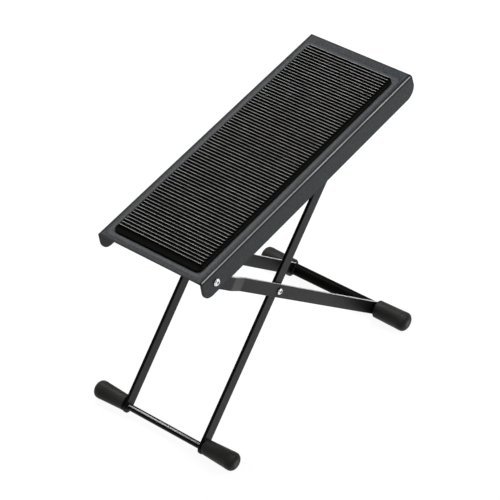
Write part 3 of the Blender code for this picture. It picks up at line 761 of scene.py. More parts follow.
def flange_ends(sizes, depth):
    """Low and high ends of the pressed channel at a depth under its top."""
    def turn(corner, start):
        return math.sqrt(max(corner ** 2 - (depth - start) ** 2, 0))

    low_start = -PLATE_LOW.z - sizes.low_corner
    high_start = -PLATE_LOW.z - sizes.high_corner
    low = 0.0
    if depth > low_start:
        low = sizes.low_corner - turn(sizes.low_corner, low_start)
    bulge = PLATE_HIGH.x - PLATE_TOP_LENGTH
    high = PLATE_TOP_LENGTH + bulge * min(depth / high_start, 1)
    if depth > high_start:
        high = PLATE_HIGH.x - sizes.high_corner + turn(sizes.high_corner, high_start)
    return low, high


def channel_rows(sizes):
    """Rows of the channel's outer face, from one flange's edge to the other's, with normals and painted tones of
    shade and highlight.
    """
    half = PLATE_HIGH.y
    full = -PLATE_LOW.z
    fold = sizes.fold_radius
    corner = max(sizes.low_corner, sizes.high_corner)
    start = full - corner
    depths = [full - corner + corner * math.sin(math.pi / 2 * step / CORNER_STEPS)
              for step in range(CORNER_STEPS, 0, -1)]
    rows = [(-half, -depth, (-1, 0), max(FLANGE_SHADE_TONE, 1 - (full - depth) / EDGE_FADE))
            for depth in depths + [start, (start + fold) / 2]]
    rows.append((-half, -fold - FOLD_SHADE, (-1, 0), FLANGE_SHADE_TONE))
    for step, tone in enumerate(FOLD_SHADE_AND_HIGHLIGHT_TONES):
        angle = math.pi - math.pi / 2 * step / (len(FOLD_SHADE_AND_HIGHLIGHT_TONES) - 1)
        out = (math.cos(angle), math.sin(angle))
        rows.append((fold - half + fold * out[0], fold * (out[1] - 1), out, tone))
    # Painted shade on the top just inboard of each fold
    rows.append((fold - half + FOLD_SHADE / 2, 0, (0, 1), 1))
    rows.append((fold - half + FOLD_SHADE, 0, (0, 1), 0))
    rows += [(-MAT_HIGH.y - distance, 0, (0, 1), 0) for distance, _ in reversed(BORDER_SHAPE)]
    rows += [(-MAT_HIGH.y / 2, 0, (0, 1), 0), (0, 0, (0, 1), 0)]
    mirrored = [(-y, z, (-out[0], out[1]), tone) for y, z, out, tone in reversed(rows[:-1])]
    return rows + mirrored


def border_rise(x, y):
    """Share of the raised border's height at a place on the top, from the mat's edge outwards."""
    away = math.hypot(max(abs(y) - MAT_HIGH.y, 0), max(MAT_LOW.x - x, x - MAT_HIGH.x, 0))
    for (start, low), (end, high) in zip(BORDER_SHAPE, BORDER_SHAPE[1:]):
        if start <= away <= end:
            return low + (high - low) * (away - start) / (end - start)
    return 0


def plate_places():
    """Shares of the plate's length at which its columns stand, close together round the mat."""
    run = PLATE_TOP_LENGTH - 2 * EDGE_FADE
    marks = [column / PLATE_COLUMNS for column in range(PLATE_COLUMNS + 1)]
    for distance, _ in BORDER_SHAPE:
        marks += [(MAT_LOW.x - distance - EDGE_FADE) / run,
                  (MAT_HIGH.x + distance - EDGE_FADE) / run]
    return sorted(marks)


def plate_mesh(sizes):
    """The pressed channel with its folds, raised border, round flange ends and soft edges, and its painted shade
    and highlights.
    """
    shape = bmesh.new()
    layer = mark_layer(shape)
    outer, inner = [], []
    marks = plate_places()
    for y, z, out, tone in channel_rows(sizes):
        low, high = flange_ends(sizes, -z)
        first, last = low + EDGE_FADE, high - EDGE_FADE
        spots = [low, low + EDGE_SHADE] + [first + (last - first) * mark for mark in marks]
        spots += [high - EDGE_SHADE, high]
        row = []
        for index, x in enumerate(spots):
            rise = border_rise(x, y) if out[1] == 1 else 0
            vert = shape.verts.new(PLATE @ Vector((x, y, z + rise * sizes.border_height)))
            vert[layer] = tone - rise * BORDER_HIGHLIGHT_TONE
            # Painted shade along both ends of the channel
            if index < EDGE_COLUMNS or index >= len(spots) - EDGE_COLUMNS:
                vert[layer] = 1
            row.append(vert)
        outer.append(row)
        under = (y - out[0] * sizes.sheet, z - out[1] * sizes.sheet)
        inner.append([shape.verts.new(PLATE @ Vector((x, *under))) for x in spots])
    for rows in (outer, inner):
        for low, high in zip(rows, rows[1:]):
            join_rings(shape, low, high, closed=False)
    for end in (0, -1):
        join_rings(shape, outer[end], inner[end], closed=False)
        join_rings(shape, [row[end] for row in outer], [row[end] for row in inner], closed=False)
    round_edges(shape, sizes.edge_round)
    return close_mesh(shape, "pressed_plate")


# The ribbed mat

# Across a rib: shares of its width with those of its height, and the tones there, painted shade on its
# sides and in the grooves and a painted highlight along its top
RIB_SHAPE_SHARES = ((0, 0), (0.03, 0.5), (0.08, 0.82), (0.16, 0.96), (0.26, 1), (0.5, 1),
                    (0.74, 1), (0.84, 0.96), (0.92, 0.82), (0.97, 0.5), (1, 0))
RIB_SHADE_AND_HIGHLIGHT_TONES = (1, 1, 1, 1, 0.3, -1, 0.3, 1, 1, 1, 1)

# Along a rib: distances from its end with the shares of its height
RIB_END_OFFSETS = (0, 0.12 * MM, 0.35 * MM, 0.7 * MM, 1.2 * MM, 2 * MM, 3 * MM, 4.4 * MM,
                   6.5 * MM, 12 * MM)
RIB_END_SHARES = (0, 0.6, 0.9, 1, 1, 1, 1, 1, 1, 1)

# Facets of the mat's rim, its least corner as a share of the full one, and how many times
# sooner than the corner the low margin's fall is complete
RIM_STEPS = 5
LEAST_CORNER_SHARE = 1 / 8
LOW_FALL_PACE = 3


class MatShape:
    """The mat's outline and rib field in the plate's axes."""

    def __init__(self, sizes):
        self.sizes = sizes
        self.low = MAT_LOW.x
        self.high = MAT_HIGH.x
        self.half = MAT_HIGH.y
        self.floor = MAT_HIGH.z - sizes.rib_height
        self.first = self.low + sizes.low_margin
        run = self.high - sizes.high_margin - sizes.rib_width - self.first
        self.pitch = run / (sizes.rib_count - 1)

    def stations(self):
        """Places along the field with the share of a rib's height and the painted tone of shade or highlight at
        each.
        """
        places = []
        for rib in range(self.sizes.rib_count):
            start = self.first + rib * self.pitch
            places += [(start + part * self.sizes.rib_width, rise, tone)
                       for (part, rise), tone in zip(RIB_SHAPE_SHARES, RIB_SHADE_AND_HIGHLIGHT_TONES)]
        return places

    def rib_end(self, x):
        """Half length of a rib at a place along the mat."""
        past = x - (self.high - self.sizes.corner)
        turn = 0
        if past > 0:
            turn = self.sizes.corner - math.sqrt(max(self.sizes.corner ** 2 - past ** 2, 0))
        return self.half - self.sizes.side_margin - turn

    def corner_point(self, inset, end, angle):
        """A point on an inset corner: end is -1 or 1, the angle runs from the side to the end."""
        radius = max(self.sizes.corner - inset, self.sizes.corner * LEAST_CORNER_SHARE)
        middle = (self.low + inset + radius if end < 0 else self.high - inset - radius)
        x = middle + end * radius * math.sin(angle)
        y = self.half - inset - radius + radius * math.cos(angle)
        return x, y


def mat_ring(mat, stations, inset, drop_low, drop_side, drop_high, level):
    """One ring round the field: its side, end and corner points, with their heights."""
    quarter = math.pi / 2
    last = len(RIB_END_OFFSETS) - 1
    turn_start = mat.high - mat.sizes.corner
    turn_end = stations[-1][0]
    side_points = []
    for x, _, _ in stations:
        if x <= turn_start:
            side_points.append((x, mat.half - inset, drop_side))
        else:
            angle = quarter / 2 * (x - turn_start) / (turn_end - turn_start)
            spot = mat.corner_point(inset, 1, angle)
            part = angle / quarter
            side_points.append((*spot, drop_side + (drop_high - drop_side) * part))
    low_points, high_points = [], []
    for index in range(1, last + 1):
        part = (index - 1) / (last - 1)
        spot = mat.corner_point(inset, -1, quarter * part)
        fallen = min(LOW_FALL_PACE * part, 1)
        low_points.append((*spot, drop_side + (drop_low - drop_side) * fallen))
    for index in range(1, last + 1):
        part = (1 + index / last) / 2
        spot = mat.corner_point(inset, 1, quarter * part)
        high_points.append((*spot, drop_side + (drop_high - drop_side) * part))
    left, low_left, high_left = [[(x, y, level - drop) for x, y, drop in points]
                                 for points in (side_points, low_points, high_points)]
    low_middle = (low_left[-1][0], 0, low_left[-1][2])
    high_middle = (high_left[-1][0], 0, high_left[-1][2])
    right, low_right, high_right = [[(x, -y, z) for x, y, z in points]
                                    for points in (left, low_left, high_left)]
    return (left + high_left + [high_middle] + high_right[::-1] + right[::-1] + low_right
            + [low_middle] + low_left[::-1])


def mat_mesh(sizes):
    """The mat as one solid: rounded ribs with shaped ends on a slab with a soft rim."""
    mat = MatShape(sizes)
    shape = bmesh.new()
    layer = mark_layer(shape)
    stations = mat.stations()
    shares = list(RIB_END_SHARES) + [1] + list(RIB_END_SHARES)[::-1]
    field = []
    for x, rise, tone in stations:
        reach_out = mat.rib_end(x)
        across = [reach_out - offset for offset in RIB_END_OFFSETS]
        across = across + [0] + [-y for y in reversed(across)]
        column = []
        for y, end_share in zip(across, shares):
            height = mat.floor + sizes.rib_height * rise * end_share
            vert = shape.verts.new(PLATE @ Vector((x, y, height)))
            # Painted shade on the ribs' shaped ends
            vert[layer] = tone if end_share == 1 else 1
            column.append(vert)
        field.append(column)
    for low, high in zip(field, field[1:]):
        join_rings(shape, low, high, closed=False)
    rim = ([column[0] for column in field] + field[-1][1:-1]
           + [column[-1] for column in reversed(field)] + field[0][-2:0:-1])
    rings = [rim]
    crown = mat.floor
    for step in range(RIM_STEPS + 1):
        angle = math.pi / 2 * step / RIM_STEPS
        inset = sizes.rim_round * (1 - math.sin(angle))
        level = crown - sizes.rim_round * (1 - math.cos(angle))
        points = mat_ring(mat, stations, inset, sizes.low_fall, sizes.side_fall,
                          sizes.side_fall, level)
        rings.append([shape.verts.new(PLATE @ Vector(point)) for point in points])
    base = [(x, y, 0) for x, y, _ in mat_ring(mat, stations, 0, 0, 0, 0, crown)]
    rings.append([shape.verts.new(PLATE @ Vector(point)) for point in base])
    for low, high in zip(rings, rings[1:]):
        if len(low) != len(high):
            raise RuntimeError(f"the mat's rings have {len(low)} and {len(high)} points")
        join_rings(shape, low, high)
    shape.faces.new(rings[-1])
    return close_mesh(shape, "ribbed_mat")


# Racks

def rack_teeth(sizes):
    """Lower edge of a rack's web in the side view, with round notches that open downwards."""
    latch = PLATE.inverted() @ (FRONT @ LATCH_MIDDLE)
    radius = LATCH_RADIUS + sizes.notch_play
    tips = RACK_LOW.z
    last = RACK_HIGH.x - sizes.rack_margin
    pitch = (last - latch.x) / max(sizes.notch_count - 1, 1)
    middle_height = RACK_HIGH.z - sizes.notch_roof - radius
    points = [(RACK_LOW.x, tips)]
    for index in range(sizes.notch_count):
        middle = latch.x + index * pitch
        points.append((middle - radius - sizes.notch_ramp, tips))
        points += arc((middle, middle_height), radius, 180, 0, CORNER_STEPS)
        points.append((middle + radius - sizes.notch_lip, tips))
    points.append((RACK_HIGH.x, tips))
    return points


def rack_mesh(name, sizes, side):
    """A notched angle: its web and the foot that is welded under the plate."""
    shape = bmesh.new()
    near, far = RACK_LOW.y, RACK_HIGH.y
    web = near + sizes.rack_web
    top = RACK_HIGH.z
    below = top - sizes.rack_foot

    def vert(x, y, z):
        return shape.verts.new(PLATE @ Vector((x, side * y, z)))

    teeth = rack_teeth(sizes)
    inner = [vert(x, near, z) for x, z in teeth]
    outer = [vert(x, web, z) for x, z in teeth]
    ends = []
    for x in (RACK_LOW.x, RACK_HIGH.x):
        ends.append([vert(x, near, top), vert(x, far, top), vert(x, far, below),
                     vert(x, web, below)])
    low, high = ends
    shape.faces.new([low[0], *inner, high[0]])
    shape.faces.new([low[3], *outer, high[3]])
    shape.faces.new([*low, outer[0], inner[0]])
    shape.faces.new([*high, outer[-1], inner[-1]])
    join_rings(shape, low, high, closed=False)
    join_rings(shape, inner, outer, closed=False)
    round_edges(shape, sizes.edge_round)
    return close_mesh(shape, name)


# Legs

# Columns over an eased bend, in parts of its ease, and on the coped foot
BEND_PARTS = 8
BEND_REACH = 5
COPE_STEPS = 12

# Step over which the strip's slope is measured
SLOPE_STEP = MM / 10


def bar_mesh(name, sizes, side):
    """A straight flat leg with a pivot hole and rounded ends."""
    half = LEG_HALF_WIDTH
    rows = rows_across(half)
    latch, foot = LATCH_MIDDLE.x, ROD_MIDDLE.x
    faces = hole_zone(0, half, sizes.hole_radius)
    faces += hole_zone(latch, half, LATCH_RADIUS, high_round=True)
    faces += hole_zone(foot, half, ROD_RADIUS, low_round=True)
    for start, end in ((half, latch - half), (foot + half, -half)):
        faces += column_faces([[(start + (end - start) * step / BAR_STEPS, z) for z in rows]
                               for step in range(BAR_STEPS + 1)])
    middle = side * (BAR_LOW.y + BAR_HIGH.y) / 2
    thickness = BAR_HIGH.y - BAR_LOW.y
    return flat_mesh(name, faces, thickness,
                     lambda x, z, lift: FRONT @ Vector((x, middle + lift, z)), sizes.edge_round)


def joggle(x, sizes):
    """Share of the strip's sideways step that is reached at a place along it."""
    def ramp(run):
        ease = sizes.joggle_ease
        if run <= -ease / 2:
            return 0
        if run >= ease / 2:
            return run
        return (run + ease / 2) ** 2 / (2 * ease)
    rise = ramp(x - sizes.joggle_start) - ramp(x - sizes.joggle_end)
    return rise / (sizes.joggle_end - sizes.joggle_start)


def strip_mesh(name, sizes, side):
    """A flat leg that steps inwards after its hinge and is coped to the foot tube."""
    half = LEG_HALF_WIDTH
    rows = rows_across(half)
    foot_low, foot_high = STRIP_FOOT
    thickness = foot_high.y - foot_low.y
    foot_middle = (foot_low.y + foot_high.y) / 2
    step_out = STRIP_HIGH.y - foot_high.y
    cope = TUBE_RADIUS
    corner = TUBE_MIDDLE.x - sizes.cope_setback

    def fit(x, z, lift):
        change = joggle(x + SLOPE_STEP, sizes) - joggle(x - SLOPE_STEP, sizes)
        slope = -step_out * change / (2 * SLOPE_STEP)
        out = foot_middle + step_out * (1 - joggle(x, sizes))
        length_of_normal = math.hypot(slope, 1)
        return REAR @ Vector((x - side * lift * slope / length_of_normal,
                              side * out + lift / length_of_normal, z))

    def cope_end(z):
        if abs(z) >= cope:
            return corner
        return min(corner, TUBE_MIDDLE.x - math.sqrt(cope ** 2 - z ** 2))

    faces = hole_zone(0, half, sizes.hole_radius, low_round=True)
    faces += hole_zone(SCISSOR_ON_REAR.x, half, sizes.hole_radius)
    ease = sizes.joggle_ease
    places = [half]
    for bend in (sizes.joggle_start, sizes.joggle_end):
        places += [bend + ease * step / BEND_PARTS
                   for step in range(-BEND_REACH, BEND_REACH + 1)]
    places += [(places[-1] + SCISSOR_ON_REAR.x - half) / 2, SCISSOR_ON_REAR.x - half]
    faces += column_faces([[(x, z) for z in rows] for x in places])
    start = SCISSOR_ON_REAR.x + half
    faces += column_faces([[(start + (cope_end(z) - start) * step / COPE_STEPS, z) for z in rows]
                           for step in range(COPE_STEPS + 1)])
    return flat_mesh(name, faces, thickness, fit, sizes.edge_round)


# Cross members, caps, rivets and welds

def rod_profile(radius, half_length, end_round):
    """Half profile of a rod with rounded ends."""
    return eased([(0, half_length, 0), (radius, half_length, end_round),
                  (radius, -half_length, end_round), (0, -half_length, 0)])


def tube_profile(radius, wall, half_length):
    """Closed profile of a tube."""
    return [(radius - wall, half_length), (radius, half_length),
            (radius, 0), (radius, -half_length), (radius - wall, -half_length)]


# How far a cap's face is crowned, and the share of its radius where half of that is reached
FACE_CROWN = MM / 15
FACE_SHARE = 0.8

# The mould seam's distances from the shoulder with the share of its height
SEAM_SHAPE = ((1.6 * MM, 0), (1.9 * MM, 1), (2.3 * MM, 1), (2.6 * MM, 0))

# Where the taper ends, in rim roundings from the inner end, and the socket mouth's rounding
TAPER_STOP = 3
MOUTH_SHARE = 1 / 3


def cap_profile(sizes, inner_radius, outer_radius, inner_end, outer_end, bore, shift):
    """Half profile of a cap: domed end, taper, mould seam, soft inner rim and socket, with a painted highlight on
    the end's flat and painted shade in the socket.
    """
    shoulder = outer_end - sizes.dome
    socket_end = outer_end - sizes.socket_wall
    # Painted highlight on the flat of the domed end
    profile = [(0, outer_end, -1),
               (sizes.face_radius * FACE_SHARE, outer_end - FACE_CROWN / 2, -1)]
    for step in range(CORNER_STEPS + 1):
        angle = math.pi / 2 * step / CORNER_STEPS
        profile.append((sizes.face_radius + (outer_radius - sizes.face_radius) * math.sin(angle),
                        shoulder + (sizes.dome - FACE_CROWN) * math.cos(angle)))
    taper = (inner_radius - outer_radius) / (inner_end - shoulder)
    for distance, rise in SEAM_SHAPE:
        height = shoulder - distance
        profile.append((outer_radius + taper * (height - shoulder) + rise * sizes.seam, height))
    rim = sizes.rim_round
    wall_middle = (inner_radius + bore) / 2
    profile += eased([(inner_radius, inner_end + TAPER_STOP * rim, 0),
                      (inner_radius, inner_end, rim), (wall_middle, inner_end, 0)])
    socket = eased([(wall_middle, inner_end, 0), (bore, inner_end, rim * MOUTH_SHARE),
                    (bore, socket_end, 0)])[1:]
    # Painted shade inside the socket
    profile += [(radius, height, 1, shift) for radius, height in socket + [(0, socket_end)]]
    return profile


# A rivet's head: radius of the dimple's floor as a share of its rim, the crown's and the painted-shade
# rim's as shares of the head, how far they lie under the top and over the foot, and the roundings from
# the dimple's floor outwards; then the tail's roundings
PIT_SHARE = 0.75
CROWN_SHARE = 0.72
RIM_SHARE = 0.97
CROWN_FALL = 0.1 * MM
RIM_HEIGHT = 0.35 * MM
HEAD_ROUNDS = (0.2 * MM, 0.25 * MM, 0.5 * MM, 0.3 * MM, 0.1 * MM)
TAIL_ROUNDS = (0.2 * MM, 0.6 * MM)


def rivet_profile(sizes, head_radius, head_foot, tail_foot):
    """Half profile of a semi-tubular rivet with a rolled head, a dimple and a flat tail."""
    top = head_foot + sizes.head_height
    pit = top - sizes.dimple_depth
    lip = sizes.dimple_radius
    corners = ((lip * PIT_SHARE, pit), (lip, top), (head_radius * CROWN_SHARE, top - CROWN_FALL),
               (head_radius, head_foot + RIM_HEIGHT), (head_radius, head_foot))
    head = eased([(0, pit, 0), *((*corner, turn) for corner, turn in zip(corners, HEAD_ROUNDS)),
                  (sizes.shank_radius, head_foot, 0)])
    low = tail_foot - sizes.tail_height
    tail = eased([(sizes.shank_radius, tail_foot, 0), (head_radius, tail_foot, TAIL_ROUNDS[0]),
                  (head_radius, low, TAIL_ROUNDS[1]), (0, low, 0)])
    # Painted shade in the dimple and round the head's rim
    return [(radius, height, int(radius < lip or radius > head_radius * RIM_SHARE))
            for radius, height in head] + tail


def washer_profile(hole, radius, inner_face, outer_face, edge_round):
    """Closed profile of a washer with soft edges."""
    return eased([(hole, outer_face, 0), (radius, outer_face, edge_round),
                  (radius, inner_face, edge_round), (hole, inner_face, 0)], closed=True)


# Ripples of a weld bead: steps from one to the next, their size and the thinned ends' share
BEAD_STEP = math.radians(9)
BEAD_RING = 12
RIPPLE_STEPS = 3
RIPPLE_SWELL = 0.12
BEAD_END_SHARE = 0.45


def bead_mesh(name, place, centre, radius, thickness, out, start, end):
    """A rippled weld bead along an arc about a cross axis; whole circles close on themselves."""
    shape = bmesh.new()
    steps = max(int(abs(end - start) / BEAD_STEP), 3)
    whole = abs(abs(end - start) - 2 * math.pi) < TINY
    rings = []
    for step in range(steps if whole else steps + 1):
        angle = start + (end - start) * step / steps
        swell = 1 + RIPPLE_SWELL * math.cos(2 * math.pi * step / RIPPLE_STEPS)
        if not whole and step in (0, steps):
            swell = BEAD_END_SHARE
        ring = []
        for part in range(BEAD_RING):
            turn = 2 * math.pi * part / BEAD_RING
            away = radius + thickness / 2 * swell * math.cos(turn)
            rise = thickness / 2 * swell * math.sin(turn)
            local = Vector((centre[0] + away * math.cos(angle), out + rise,
                            centre[2] + away * math.sin(angle)))
            ring.append(shape.verts.new(place @ local))
        rings.append(ring)
    for low, high in zip(rings, rings[1:] + (rings[:1] if whole else [])):
        join_rings(shape, low, high)
    if not whole:
        shape.faces.new(rings[0])
        shape.faces.new(rings[-1])
    return close_mesh(shape, name)


# Painted highlights where faces look towards the softboxes: the direction that a face has to look in,
# but for the strips, whose direction is square to them, the cosines where the tone starts and is full,
# and the tone
STRIP_LIT = (0.3, 0.6, -1)
ROD_LIT = ((-0.32, 0, 0.95), 0.96, 0.99, -1)
CAP_LIT = ((-0.3, 0, 0.95), 0.5, 0.95, -0.75)

# Painted shade on the strips towards the tube over this length, up to this tone
FOOT_SHADE = 75 * MM
FOOT_TONE = 0.9

# Each softbox: its place, the point that it looks at and its two sides
SOFTBOXES = {
    "back": ((0.44, 0.70, 1.42), (0, 0, 0.22), (0.62, 0.8)),
    "front": ((0.62, -1.12, 1.05), (0, 0, 0.2), (0.9, 0.32)),
    "fill": ((-1.4, -1.6, 2.0), (0, 0, 0.15), (1.2, 1.2)),
}


# Operators

class FOOTREST_OT_stage(Operator):
    """Set the floor, world, lamps and camera"""
    bl_idname = "footrest.stage"
    bl_label = "Stage"

    def execute(self, context):
        stage = context.scene.footrest_stage
        context.scene.view_settings.view_transform = "Standard"
        make_floor(stage)
        make_world(stage)
        for name, (place, target, size) in SOFTBOXES.items():
            add_lamp(f"{name}_softbox", place, target, size, getattr(stage, f"{name}_lamp"))
        add_camera(stage)
        return {"FINISHED"}


class FOOTREST_OT_foot_plate(Operator):
    """Build the pressed foot plate"""
    bl_idname = "footrest.foot_plate"
    bl_label = "Foot plate"

    def execute(self, context):
        mesh = plate_mesh(context.scene.footrest_plate)
        add_piece("pressed_plate", mesh, "platform", "plate_paint", "foot_plate", even=True)
        return {"FINISHED"}


class FOOTREST_OT_rubber_mat(Operator):
    """Build the ribbed rubber mat"""
    bl_idname = "footrest.rubber_mat"
    bl_label = "Rubber mat"

    def execute(self, context):
        mesh = mat_mesh(context.scene.footrest_mat)
        add_piece("ribbed_mat", mesh, "platform", "mat_rubber", "rubber_mat")
        return {"FINISHED"}


class FOOTREST_OT_racks(Operator):
    """Build the notched racks under the plate"""
    bl_idname = "footrest.racks"
    bl_label = "Notched racks"

    def execute(self, context):
        for label, side in SIDES:
            name = f"height_rack_{label}"
            mesh = rack_mesh(name, context.scene.footrest_plate, side)
            add_piece(name, mesh, "platform", "leg_paint", f"notch_rack_{label}", even=True)
        return {"FINISHED"}


class FOOTREST_OT_rear_legs(Operator):
    """Build the two joggled rear leg strips"""
    bl_idname = "footrest.rear_legs"
    bl_label = "Rear legs"

    def execute(self, context):
        for label, side in SIDES:
            name = f"rear_leg_{label}"
            mesh = strip_mesh(name, context.scene.footrest_legs, side)
            # Painted highlight along the strips' upper edges and painted shade towards the tube
            tone_by_facing(mesh, (REAR @ Vector((0, 0, 1))) - REAR.translation, *STRIP_LIT)
            tone_along(mesh, REAR, TUBE_MIDDLE.x - FOOT_SHADE, TUBE_MIDDLE.x, FOOT_TONE)
            add_piece(name, mesh, "rear_legs", "leg_paint", f"rear_leg_strip_{label}", even=True)
        return {"FINISHED"}


class FOOTREST_OT_front_legs(Operator):
    """Build the two straight front leg bars"""
    bl_idname = "footrest.front_legs"
    bl_label = "Front legs"

    def execute(self, context):
        for label, side in SIDES:
            name = f"front_leg_{label}"
            mesh = bar_mesh(name, context.scene.footrest_legs, side)
            add_piece(name, mesh, "front_legs", "leg_paint", f"front_leg_bar_{label}", even=True)
        return {"FINISHED"}


class FOOTREST_OT_cross_members(Operator):
    """Build the front rod, the latch rod and the rear tube"""
    bl_idname = "footrest.cross_members"
    bl_label = "Cross members"

    def execute(self, context):
        legs = context.scene.footrest_legs
        rod = rod_profile(ROD_RADIUS, ROD_HIGH.y, legs.rod_end)
        latch = rod_profile(LATCH_RADIUS, LATCH_HIGH.y, legs.rod_end)
        foot_rod = turned_mesh("front_foot_rod", rod, FRONT, ROD_MIDDLE, 1)
        # Painted highlight along the rod's top
        tone_by_facing(foot_rod, *ROD_LIT)
        tube = tube_profile(TUBE_RADIUS, legs.tube_wall, TUBE_HIGH.y)
        add_piece("front_foot_rod", foot_rod, "front_legs", "rod_enamel", "front_cross_rod")
        add_piece("latch_bar", turned_mesh("latch_bar", latch, FRONT, LATCH_MIDDLE, 1),
                  "front_legs", "rod_enamel", "latch_rod")
        add_piece("rear_foot_tube",
                  turned_mesh("rear_foot_tube", tube, REAR, TUBE_MIDDLE, 1, closed=True),
                  "rear_legs", "leg_paint", "rear_cross_tube", finish="tube_paint")
        return {"FINISHED"}


class FOOTREST_OT_foot_caps(Operator):
    """Build the four rubber foot caps"""
    bl_idname = "footrest.foot_caps"
    bl_label = "Foot caps"

    def execute(self, context):
        caps = context.scene.footrest_caps
        front = cap_profile(caps, caps.front_inner_radius,
                            (FRONT_CAP_HIGH.z - FRONT_CAP_LOW.z) / 2,
                            FRONT_CAP_LOW.y, FRONT_CAP_HIGH.y, ROD_RADIUS,
                            ROD_MIDDLE.x - FRONT_CAP_MIDDLE.x)
        rear = cap_profile(caps, caps.rear_inner_radius, (REAR_CAP_HIGH.z - REAR_CAP_LOW.z) / 2,
                           REAR_CAP_LOW.y, REAR_CAP_HIGH.y, TUBE_RADIUS, 0)
        for label, side in SIDES:
            for end, profile, place, middle in (("front", front, FRONT, FRONT_CAP_MIDDLE),
                                                ("rear", rear, REAR, TUBE_MIDDLE)):
                name = f"{end}_rubber_cap_{label}"
                mesh = turned_mesh(name, profile, place, middle, side)
                # Painted highlight on the caps' upper sides
                tone_by_facing(mesh, *CAP_LIT)
                add_piece(name, mesh, f"{end}_legs", "cap_rubber", f"{end}_foot_cap_{label}")
        return {"FINISHED"}


class FOOTREST_OT_rivets(Operator):
    """Build the rivets with their washers"""
    bl_idname = "footrest.rivets"
    bl_label = "Rivets and washers"

    def execute(self, context):
        sizes = context.scene.footrest_rivets
        hole = context.scene.footrest_legs.hole_radius
        for label, side in SIDES:
            make_rivet(sizes, f"plate_rivet_{label}", f"plate_pivot_rivet_{label}", PLATE,
                       PIVOT_ON_PLATE, side, "platform")
            make_rivet(sizes, f"scissor_rivet_{label}", f"scissor_pivot_rivet_{label}", REAR,
                       SCISSOR_ON_REAR, side, "rear_legs")
            make_washer(sizes, hole, f"plate_rivet_washer_{label}", f"pivot_back_washer_{label}",
                        PLATE, PIVOT_ON_PLATE, side, "platform", "bright_rivet")
            make_washer(sizes, hole, f"scissor_spacer_{label}", f"scissor_washer_{label}",
                        REAR, SCISSOR_ON_REAR, side, "rear_legs", "leg_paint")
        return {"FINISHED"}


class FOOTREST_OT_welds(Operator):
    """Build the weld beads where rods and tube meet the legs"""
    bl_idname = "footrest.welds"
    bl_label = "Weld beads"

    def execute(self, context):
        legs = context.scene.footrest_legs
        opening = math.acos(legs.cope_setback / TUBE_RADIUS) - BEAD_STEP
        for label, side in SIDES:
            for face, out in (("inner", STRIP_FOOT[0].y), ("outer", STRIP_FOOT[1].y)):
                name = f"tube_weld_{face}_{label}"
                mesh = bead_mesh(name, REAR, TUBE_MIDDLE, TUBE_RADIUS, legs.bead, side * out,
                                 math.pi - opening, math.pi + opening)
                add_piece(name, mesh, "rear_legs", "leg_paint")
            for rod, middle, radius in (("foot", ROD_MIDDLE, ROD_RADIUS),
                                        ("latch", LATCH_MIDDLE, LATCH_RADIUS)):
                name = f"{rod}_rod_weld_{label}"
                mesh = bead_mesh(name, FRONT, middle, radius, legs.bead, side * BAR_LOW.y,
                                 0, 2 * math.pi)
                add_piece(name, mesh, "front_legs", "leg_paint")
        return {"FINISHED"}


def make_rivet(sizes, node, name, place, centre, side, body):
    """One rivet, its head and tail where the packed rivet has them."""
    low, high = node_reach(node, place)
    near, far = sorted((abs(low.y), abs(high.y)))
    profile = rivet_profile(sizes, (high.x - low.x) / 2, far - sizes.head_height,
                            near + sizes.tail_height)
    mesh = turned_mesh(name, profile, place, centre, side)
    add_piece(name, mesh, body, "bright_rivet", node)


def make_washer(sizes, hole, node, name, place, centre, side, body, slot):
    """One washer, its faces where the packed washer has them."""
    low, high = node_reach(node, place)
    near, far = sorted((abs(low.y), abs(high.y)))
    profile = washer_profile(hole, (high.x - low.x) / 2, near, far, sizes.washer_round)
    add_piece(name, turned_mesh(name, profile, place, centre, side, closed=True), body, slot, node)


def make_floor(stage):
    """A floor that is white where it is seen and keeps the object's shadow."""
    half = stage.floor_size / 2
    mesh = bpy.data.meshes.new("floor")
    corners = [(-half, -half, 0), (half, -half, 0), (half, half, 0), (-half, half, 0)]
    mesh.from_pydata(corners, [], [(0, 1, 2, 3)])
    floor = bpy.data.objects.new("floor", mesh)
    bpy.context.scene.collection.objects.link(floor)
    material = bpy.data.materials.new("floor")
    material.use_nodes = True
    tree = material.node_tree
    tree.nodes.clear()
    bounce, faint = [tree.nodes.new("ShaderNodeBsdfDiffuse") for _ in range(2)]
    bounce.inputs["Color"].default_value = (*[stage.floor_bounce] * 3, 1)
    faint.inputs["Color"].default_value = (*[stage.floor_shade] * 3, 1)
    glow = tree.nodes.new("ShaderNodeEmission")
    glow.inputs["Strength"].default_value = stage.floor_white
    both = tree.nodes.new("ShaderNodeAddShader")
    tree.links.new(faint.outputs[0], both.inputs[0])
    tree.links.new(glow.outputs[0], both.inputs[1])
    path = tree.nodes.new("ShaderNodeLightPath")
    seen = add_math(tree, "MAXIMUM", path.outputs["Is Camera Ray"], path.outputs["Is Glossy Ray"])
    seen = add_math(tree, "MAXIMUM", seen, path.outputs["Is Transmission Ray"])
    choice = tree.nodes.new("ShaderNodeMixShader")
    tree.links.new(seen, choice.inputs[0])
    tree.links.new(bounce.outputs[0], choice.inputs[1])
    tree.links.new(both.outputs[0], choice.inputs[2])
    result = tree.nodes.new("ShaderNodeOutputMaterial")
    tree.links.new(choice.outputs[0], result.inputs["Surface"])
    mesh.materials.append(material)


